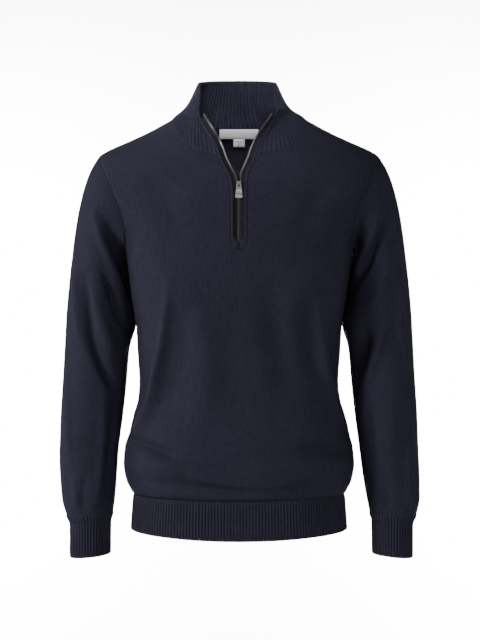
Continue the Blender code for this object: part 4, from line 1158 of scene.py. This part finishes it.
def roundedOutline(corners, radius, steps=5):
    # a polygon with each corner rounded
    corners = np.array(corners, float)
    outline = []
    for index, corner in enumerate(corners):
        before, after = corners[index - 1], corners[(index + 1) % len(corners)]
        toBefore, toAfter = unit(before - corner), unit(after - corner)
        start, end = corner + toBefore * radius, corner + toAfter * radius
        for part in np.linspace(0, 1, steps):
            first, second = start + (corner - start) * part, corner + (end - corner) * part
            outline.append(first + (second - first) * part)
    return np.array(outline)


def plainMesh(name, parts, material, sharp):
    # several closed bodies of (points, faces) as one piece
    work = bmesh.new()
    for points, faces in parts:
        corners = [work.verts.new(Vector(point) * mm) for point in points]
        for face in faces:
            work.faces.new([corners[index] for index in face])
    bmesh.ops.recalc_face_normals(work, faces=work.faces[:])
    mesh = bpy.data.meshes.new(name)
    work.to_mesh(mesh)
    work.free()
    mesh.shade_smooth()
    mesh.set_sharp_from_angle(angle=radians(sharp))
    mesh.materials.append(material)
    return show(name, mesh)


def bentWire(width, length, rise, wire, base):
    # the crown: a rounded strap bent over the slider's face
    along, around = slider["crownSteps"]
    rings = []
    for turn in np.linspace(0, pi, along):
        way = np.array([0, -sin(turn), cos(turn)])
        middle = np.array([0, -sin(turn) * (rise - wire / 2), cos(turn) * (length - wire) / 2])
        middle[1] += base
        ring = []
        for corner in np.linspace(0, 2 * pi, around, endpoint=False):
            across = np.sign(cos(corner)) * abs(cos(corner)) ** 0.5 * width / 2
            out = np.sign(sin(corner)) * abs(sin(corner)) ** 0.5 * wire / 2
            ring.append(middle + np.array([across, 0, 0]) + way * out)
        rings.append(np.array(ring))
    return stackRings(rings)


def makeSlider(material):
    # also gives how far its face is in front of the zip's line
    wall, corners, bevels = slider["plate"], slider["corners"], slider["bevels"]
    middle = tooth["depth"] + tooth["wall"] / 2
    front, back = middle - slider["channel"] / 2, middle + slider["channel"] / 2
    right = np.array(slider["outline"])
    left = right * (-1, 1)
    outline = np.concatenate([left[:1], right, left[:0:-1]])
    parts = [plate(outline, corners["plate"], start, start + wall, bevels["plate"], 1)
             for start in (front - wall, back)]
    over = slider["wedgeOver"]
    parts.append(plate(slider["wedge"], corners["wedge"], front - over, back + over, bevels["wedge"]))
    beforeFront, beforeBack, lipWall = slider["lipDeep"]
    for side in sides.values():
        lip = np.array(slider["lip"]) * (side, 1)
        for deep in (front - beforeFront, back - beforeBack):
            parts.append(plate(lip, corners["lip"], deep, deep + lipWall, bevels["lip"]))
    parts.append(bentWire(*slider["crown"], front - wall + slider["crownSunk"]))
    parts = [(layOnZip(points), faces) for points, faces in parts]
    return plainMesh("slider", parts, material, slider["sharp"]), wall - front


def tabOutline():
    # up the left side, then down the right
    top, bottom = pullTab["wall"] / 2, pullTab["wall"] / 2 - pullTab["length"]
    count = pullTab["levels"]
    levels = np.linspace(0, 1, count)
    wider = (pullTab["bottomWidth"] - pullTab["topWidth"]) * levels ** pullTab["flare"]
    right = np.stack([(pullTab["topWidth"] + wider) / 2, top + (bottom - top) * levels], axis=-1)
    outline = np.concatenate([right[::-1] * (-1, 1), right])
    share = np.zeros((2 * count, 1))
    share[[0, count - 1, count, 2 * count - 1]] = pullTab["softened"]
    for _ in range(2):
        near = (np.roll(outline, 1, axis=0) + np.roll(outline, -1, axis=0)) / 2
        outline = outline + (near - outline) * share
    return outline


def makePullTab(faceRise, material):
    outline = tabOutline()
    eyeWide, eyeTop, eyeBottom = pullTab["eye"]
    centre = np.array([0, -(eyeTop + eyeBottom) / 2])
    angles = np.arctan2(outline[:, 1] - centre[1], outline[:, 0])
    across, down = (np.sign(part) * np.abs(part) ** pullTab["eyeSquare"]
                    for part in (np.cos(angles), np.sin(angles)))
    eye = centre + np.stack([across * eyeWide / 2, down * (eyeBottom - eyeTop) / 2], axis=-1)
    face, bevel = pullTab["wall"] / 2, pullTab["bevel"]
    rings = []
    # the outer edge front to back, then the eye back to front
    for loop, amount, way in ((outline, bevel, 1), (eye, -pullTab["eyeBevel"], -1)):
        steps = ((-face, amount), (bevel - face, 0), (face - bevel, 0), (face, amount))
        rings += [standing(inset(loop, size, centre), deep) for deep, size in steps[::way]]
    parts = [stackRings(rings, "joined")]
    # a raised rim round the front face
    edge = np.roll(outline, -1, axis=0) - np.roll(outline, 1, axis=0)
    inward = unit(np.stack([edge[:, 1], -edge[:, 0]], axis=-1))
    inward *= np.sign((inward * (outline.mean(axis=0) - outline)).sum())
    start, end, proud, root = pullTab["rim"]
    steps = ((start, root), (start + root, -proud), (end - root, -proud), (end, root))
    rings = [standing(outline + inward * amount, deep - face) for amount, deep in steps]
    parts.append(stackRings(rings, "joined"))
    rise = faceRise + slider["pivotRise"]
    parts = [(layOnZip(points, rise), faces) for points, faces in parts]
    return plainMesh("pullTab", parts, material, pullTab["sharp"])


# labels inside the back of the neck

label = {
    "top": -8.8,
    "gap": 0.3,                         # between the two
    "clearance": 1.3,
    "wall": 0.8,
    "rim": 0.6,
    "rows": 13,
    "neck": (63.5, 14.2, 45),           # width, height, columns
    "size": (19.0, 12.0, 17),
    "curl": 0.5,
    "curlAtEdge": 0.4,
    "edge": 3.0,
}


def makeLabel(name, top, size, material):
    width, height, columns = size
    outs, heights = np.meshgrid(np.linspace(-width / 2, width / 2, columns),
                                np.linspace(top, top - height, label["rows"]))
    points = onTorso(outs, heights, 1)
    ways = torsoNormal(points, 1)
    edge = np.minimum(width / 2 - np.abs(outs), label["edge"]) / label["edge"]
    edge = label["curlAtEdge"] + (1 - label["curlAtEdge"]) * edge
    sag = label["curl"] * np.sin(pi * (top - heights) / height) * edge
    outer = points - ways * (body["wall"] + label["clearance"] + sag[..., None])
    return wallPiece(name, outer, outer - ways * label["wall"], outs + width / 2, material,
                     roundness=label["rim"])


# materials

knit = {
    "wale": 2.1 * mm,
    "course": 1.7 * mm,
    "ribPitch": 4.5,
    "plain": ((0.0125, 0.0118, 0.0212), (0.0300, 0.0284, 0.0468)),          # dark, light
    "rib": ((0.0098, 0.0092, 0.0170), (0.0320, 0.0303, 0.0492)),
    "grooveShade": 0.22,                     # painted shade and light: darkens the grooves between two ribs and lightens their crests
    "wander": (60, 2),                  # noises: scale, detail, roughness, stretch
    "fibre": (1500, 4, 0.7),
    "streak": (600, 2, 0.5, (1.0, 1.0, 0.1)),
    "blotch": (18, 3, 0.55),
    "fibreTone": 0.28,
    "streakTone": 0.17,
    "blotchTone": 0.07,
    "bump": (0.18, 0.0005),             # strength, distance
    "sheen": {"Sheen_Weight": 0.012, "Sheen_Roughness": 0.45, "Sheen_Tint": (0.62, 0.66, 0.86, 1),
              "Specular_IOR_Level": 0.06},
}
twillTape = {
    "slant": (0.9 * mm, 1.1 * mm),
    "fibre": (2500, 3),
    "colours": ((0.009, 0.009, 0.012), (0.022, 0.022, 0.027)),
    "bump": (0.5, 0.0003),
    "sheen": {"Sheen_Weight": 0.01, "Specular_IOR_Level": 0.12},
}
metals = {                              # dark, light
    "slider": ((0.05, 0.0495, 0.05), (0.17, 0.167, 0.168)),
    # the teeth's colours are made dark as painted shade, for their recess between the bindings
    "tooth": ((0.03, 0.0294, 0.0288), (0.14, 0.136, 0.13)),
    "tab": ((0.085, 0.0815, 0.078), (0.31, 0.296, 0.282)),
    "wear": (700, 4, 0.65),
    "scratch": (1800, 2, 0.5, (1.0, 1.0, 0.15)),
    "rough": (0.26, 0.46),
    "bump": (0.12, 0.0002),
}
labelSatin = {
    "threads": (0.45 * mm, 0.6 * mm),
    "fibre": (900, 3),
    "colours": ((0.78, 0.78, 0.80), (0.93, 0.93, 0.94)),
    "bump": (0.3, 0.0002),
}


class Signal:
    # a shader's number that adds and multiplies like a plain one

    def __init__(self, book, socket):
        self.book, self.socket = book, socket

    def maths(self, operation, *others):
        node = self.book.put("ShaderNodeMath", operation=operation)
        for socket, value in zip(node.inputs, (self, *others)):
            self.book.feed(socket, value)
        return Signal(self.book, node.outputs[0])

    def __add__(self, other):
        return self.maths("ADD", other)

    def __sub__(self, other):
        return self.maths("SUBTRACT", other)

    def __mul__(self, other):
        return self.maths("MULTIPLY", other)

    def __truediv__(self, other):
        return self.maths("DIVIDE", other)

    def spread(self, low, high, toLow=0.0, toHigh=1.0):
        node = self.book.put("ShaderNodeMapRange")
        for socket, value in zip(node.inputs, (self, low, high, toLow, toHigh)):
            self.book.feed(socket, value)
        return Signal(self.book, node.outputs[0])

    def sway(self, share):
        # a noise as a change of tone both ways
        return self.spread(0.3, 0.7, -share, share)


class NodeBook:
    # wires one material's nodes

    def __init__(self, name):
        self.made = bpy.data.materials.new(name)
        self.made.use_nodes = True
        self.tree = self.made.node_tree
        self.shader = self.tree.nodes["Principled BSDF"]

    def put(self, kind, **settings):
        node = self.tree.nodes.new(kind)
        for key, value in settings.items():
            setattr(node, key, value)
        return node

    def feed(self, socket, value):
        if isinstance(value, Signal):
            value = value.socket
        if isinstance(value, bpy.types.NodeSocket):
            self.tree.links.new(value, socket)
        else:
            socket.default_value = value

    def noise(self, scale, detail=3.0, roughness=0.6, stretch=None):
        place = self.put("ShaderNodeTexCoord").outputs["Object"]
        if stretch:
            mapping = self.put("ShaderNodeMapping")
            self.feed(mapping.inputs["Vector"], place)
            mapping.inputs["Scale"].default_value = stretch
            place = mapping.outputs[0]
        node = self.put("ShaderNodeTexNoise")
        for key, value in zip(("Vector", "Scale", "Detail", "Roughness"),
                              (place, scale, detail, roughness)):
            self.feed(node.inputs[key], value)
        return Signal(self, node.outputs[0])

    def clothPlace(self):
        # across and along the flat cloth, in metres
        node = self.put("ShaderNodeUVMap", uv_map="cloth")
        split = self.put("ShaderNodeSeparateXYZ")
        self.feed(split.inputs[0], node.outputs[0])
        return Signal(self, split.outputs[0]), Signal(self, split.outputs[1])

    def colour(self, tone, dark, light):
        node = self.put("ShaderNodeMix", data_type="RGBA", blend_type="MIX")
        for index, value in ((0, tone), (6, (*dark, 1)), (7, (*light, 1))):
            self.feed(node.inputs[index], value)
        self.feed(self.shader.inputs["Base Color"], node.outputs[2])

    def bump(self, height, strength, distance):
        node = self.put("ShaderNodeBump")
        for key, value in zip(("Strength", "Distance", "Height"), (strength, distance, height)):
            self.feed(node.inputs[key], value)
        self.feed(self.shader.inputs["Normal"], node.outputs[0])

    def surface(self, **values):
        for key, value in values.items():
            self.feed(self.shader.inputs[key.replace("_", " ")], value)


def stitchHeight(across, along, wale, course):
    # columns of stitches, each a pair of leaning legs
    cell = (across / wale).maths("FRACT")
    away = (cell - 0.5).maths("ABSOLUTE") * 2.0
    leg = (away * pi).maths("SINE").maths("POWER", 0.6)
    row = along / course - away * 0.5
    return leg * ((row * (2 * pi)).maths("COSINE") * 0.4 + 0.6)


def knitMaterial(name, colours, wale, grooveShade=0.0):
    # ribs are two wales apart
    book = NodeBook(name)
    across, along = book.clothPlace()
    ribShading = (across * (pi / (2 * wale))).maths("SINE").maths("ABSOLUTE")
    across = across + (book.noise(*knit["wander"]) - 0.5) * (0.25 * wale)
    stitch = stitchHeight(across, along, wale, knit["course"])
    fibre = book.noise(*knit["fibre"])
    # painted shade: the gaps between stitch legs are darker; the fibre, streak and blotch noises vary
    # the yarn's own colour
    tone = stitch.spread(0.05, 0.9, 0.25, 0.75) + fibre.sway(knit["fibreTone"])
    tone = tone + book.noise(*knit["streak"]).sway(knit["streakTone"])
    tone = tone + book.noise(*knit["blotch"]).sway(knit["blotchTone"])
    # painted shade and light on ribs: darker in the grooves between them, lighter on their crests
    book.colour(tone + ribShading.spread(0.0, 1.0, -1.4 * grooveShade, grooveShade), *colours)
    book.surface(Roughness=fibre.spread(0.2, 0.8, 0.80, 0.98) - stitch * 0.06, **knit["sheen"])
    book.bump(stitch + fibre * 0.5, *knit["bump"])
    return book.made


def tapeMaterial():
    book = NodeBook("tapeTwill")
    places = [place / size for place, size in zip(book.clothPlace(), twillTape["slant"])]
    twill = ((places[0] + places[1]) * (2 * pi)).maths("SINE") * 0.5 + 0.5
    fibre = book.noise(*twillTape["fibre"])
    book.colour(twill * 0.5 + fibre * 0.5, *twillTape["colours"])
    book.surface(Roughness=fibre.spread(0.2, 0.8, 0.7, 0.9), **twillTape["sheen"])
    book.bump(twill, *twillTape["bump"])
    return book.made


def metalMaterial(kind):
    book = NodeBook(kind + "Metal")
    wear, scratch = book.noise(*metals["wear"]), book.noise(*metals["scratch"])
    edge = Signal(book, book.put("ShaderNodeNewGeometry").outputs["Pointiness"])
    tone = wear.spread(0.3, 0.7, 0.25, 0.85) + edge.spread(0.48, 0.56, 0.0, 0.35)
    book.colour(tone, *metals[kind])
    book.surface(Roughness=scratch.spread(0.3, 0.7, *metals["rough"]), Metallic=1.0)
    book.bump(wear + scratch, *metals["bump"])
    return book.made


def labelMaterial():
    book = NodeBook("labelSatin")
    across, along = book.clothPlace()
    weft, warp = labelSatin["threads"]
    weave = ((along / weft * (2 * pi)).maths("SINE") * 0.35
             + (across / warp * (2 * pi)).maths("SINE") * 0.15)
    fibre = book.noise(*labelSatin["fibre"])
    book.colour(weave.spread(-0.5, 0.5, 0.3, 0.7) + fibre.sway(0.2), *labelSatin["colours"])
    book.surface(Roughness=fibre.spread(0.2, 0.8, 0.45, 0.65), Sheen_Weight=0.2)
    book.bump(weave, *labelSatin["bump"])
    return book.made


plainKnit = knitMaterial("plainKnit", knit["plain"], knit["wale"])
ribKnit = knitMaterial("ribKnit", knit["rib"], knit["ribPitch"] * mm / 2, knit["grooveShade"])
twill = tapeMaterial()
sliderMetal, toothMetal, tabMetal = (metalMaterial(kind) for kind in ("slider", "tooth", "tab"))
satin = labelMaterial()
print("materials made")


# the pieces

cuts = {                                # width, length, flat area in metres, hangs from
    "frontPanel": (0.585, 0.652, 0.272, ()),
    "backPanel": (0.552, 0.650, 0.281, ()),
    "sleeve": (0.460, 0.585, 0.170, ("frontPanel", "backPanel")),
    "cuff": (0.236, 0.068, None, ("sleeve",)),
    "hem": (0.428, 0.060, None, ("frontPanel", "backPanel")),
    "collar": (0.430, 0.085, None, ("frontPanel", "backPanel")),
    "binding": (0.012, 0.230, 0.0017, ("frontPanel", "neckCollar")),
    "tape": (0.012, 0.219, None, ("binding",)),
    "neckLabel": (0.0635, 0.0172, None, ("backPanel",)),
    "sizeLabel": (0.019, 0.0145, None, ("neckLabel",)),
}


def addCloth(made, node, kind, title=""):
    # attaches the piece and hides its node; the cut and the holders, named for the piece's own side,
    # are read but not used
    addPiece(made, [node])
    width, length, area, holders = cuts[kind]
    holders = [holder + title if holder in ("sleeve", "binding") else holder for holder in holders]


for name, side, node in (("frontPanel", -1, "front_panel"), ("backPanel", 1, "back_panel")):
    addCloth(makePanel(name, side, plainKnit), node, name)
print("panels made")
for side, mirror in sides.items():
    title = side.capitalize()
    made = makeSleeve("sleeve" + title, mirror, plainKnit)
    addCloth(made, "sleeve_" + side, "sleeve")
    made = makeCuff("cuff" + title, mirror, ribKnit)
    addCloth(made, "cuff_" + side, "cuff", title)
print("sleeves and cuffs made")
addCloth(makeHem("hemFront", -1, ribKnit), "hem_rib_front", "hem")
addCloth(makeHem("hemBack", 1, ribKnit), "hem_rib_back", "hem")
addCloth(makeCollar("neckCollar", ribKnit), "collar", "collar")
print("ribs made")
for side, mirror in sides.items():
    title = side.capitalize()
    made = makeBinding("binding" + title, mirror, ribKnit)
    addCloth(made, "zip_binding_" + side, "binding")
    made = makeTape("tape" + title, mirror, twill)
    addCloth(made, "zip_tape_" + side, "tape", title)
    addPiece(makeTeeth("teeth" + title, mirror, toothMetal), ["zip_teeth_" + side])
sliderBody, faceRise = makeSlider(sliderMetal)
addPiece(sliderBody, ["zip_slider"])
addPiece(makePullTab(faceRise, tabMetal), ["pull_tab"], "pull_tab")
print("zip made")
top = label["top"]
for kind in ("neck", "size"):
    made = makeLabel(kind + "Label", top, label[kind], satin)
    addCloth(made, kind + "_label", kind + "Label")
    top = top - label[kind][1] - label["gap"]
print("labels made")


# floor, light and camera

studio = {
    "floor": -2.3,
    "nearEnd": -4.0,
    "wallAt": 5.0,
    "sweep": 1.6,
    "sweepSteps": 13,
    "tall": 2.2,
    "floorWide": 3.5,
    "wallWide": 1.5,
    "paper": ((0.93,) * 3, (0.94,) * 3),
    "grain": (3, 2),
    "world": 0.12,
    "keyColour": (1.0, 0.99, 0.98),
    "lamps": (                          # place, target, width, height, spread, power; the key first
        ((-2.3, -1.4, 0.4), (0, 0, -0.35), 0.8, 1.0, 160, 57),
        ((-2.2, 0.25, -0.15), (0, 0, -0.3), 0.6, 1.4, 160, 18),
        ((2.2, 0.25, -0.15), (0, 0, -0.3), 0.6, 1.4, 160, 6),
        ((-0.3, -2.9, -0.2), (0, 0, -0.3), 0.7, 0.7, 160, 8.5),
        ((1.5, -2.4, -0.5), (0.22, 0, -0.45), 0.6, 0.6, 50, 1.9),
        ((-0.1, -1.3, 1.9), (0, 0.05, -0.05), 0.9, 0.7, 160, 3.5),
        ((-0.08, -1.2, 1.2), (-0.02, 0.06, 0.03), 0.2, 0.2, 15, 0.32),
        ((-1.9, 3.6, -0.3), (0.5, 5.0, -0.35), 0.6, 2.6, 150, 620),
        ((1.9, 3.6, -0.3), (-0.5, 5.0, -0.35), 0.6, 2.6, 150, 620),
    ),
}
camera = {
    "lens": 84.375,
    "place": (0.0016, -2.4, -0.323),
}


def makeStage():
    floor, wallAt, sweepSize = studio["floor"], studio["wallAt"], studio["sweep"]
    profile = [(studio["nearEnd"], floor), (0.0, floor)]
    for turn in np.linspace(0, pi / 2, studio["sweepSteps"]):
        profile.append((wallAt - sweepSize * (1 - sin(turn)), floor + sweepSize * (1 - cos(turn))))
    profile.append((wallAt, studio["tall"]))
    points = []
    for side in sides.values():
        for deep, high in profile:
            near = float(ease((wallAt - deep) / wallAt))
            wide = studio["wallWide"] + (studio["floorWide"] - studio["wallWide"]) * near
            points.append((side * wide, deep, high))
    count = len(profile)
    quads = [(cell, cell + 1, count + cell + 1, count + cell) for cell in range(count - 1)]
    mesh = bpy.data.meshes.new("backdrop")
    mesh.from_pydata(points, [], quads)
    mesh.shade_smooth()
    book = NodeBook("backdropPaper")
    book.colour(book.noise(*studio["grain"]), *studio["paper"])
    book.surface(Roughness=0.9, Specular_IOR_Level=0.1)
    mesh.materials.append(book.made)
    show("backdrop", mesh)


def makeLights():
    for index, (place, target, width, height, spread, power) in enumerate(studio["lamps"]):
        lamp = bpy.data.lights.new(f"softbox{index}", "AREA")
        lamp.shape = "RECTANGLE"
        lamp.size, lamp.size_y, lamp.spread = width, height, radians(spread)
        lamp.energy = power
        lamp.color = (1.0, 1.0, 1.0) if index else studio["keyColour"]
        made = show(lamp.name, lamp)
        made.location = place
        way = Vector(target) - Vector(place)
        made.rotation_euler = way.to_track_quat("-Z", "Y").to_euler()
    world = bpy.data.worlds.new("studio")
    world.use_nodes = True
    sky = world.node_tree.nodes["Background"].inputs
    sky["Color"].default_value = (1, 1, 1, 1)
    sky["Strength"].default_value = studio["world"]
    bpy.context.scene.world = world


def makeCamera():
    lens = bpy.data.cameras.new("camera")
    lens.lens = camera["lens"]
    made = show("camera", lens)
    made.location = camera["place"]
    made.rotation_euler = (pi / 2, 0, 0)
    bpy.context.scene.camera = made


makeStage()
makeLights()
makeCamera()
print("stage, lights and camera made")
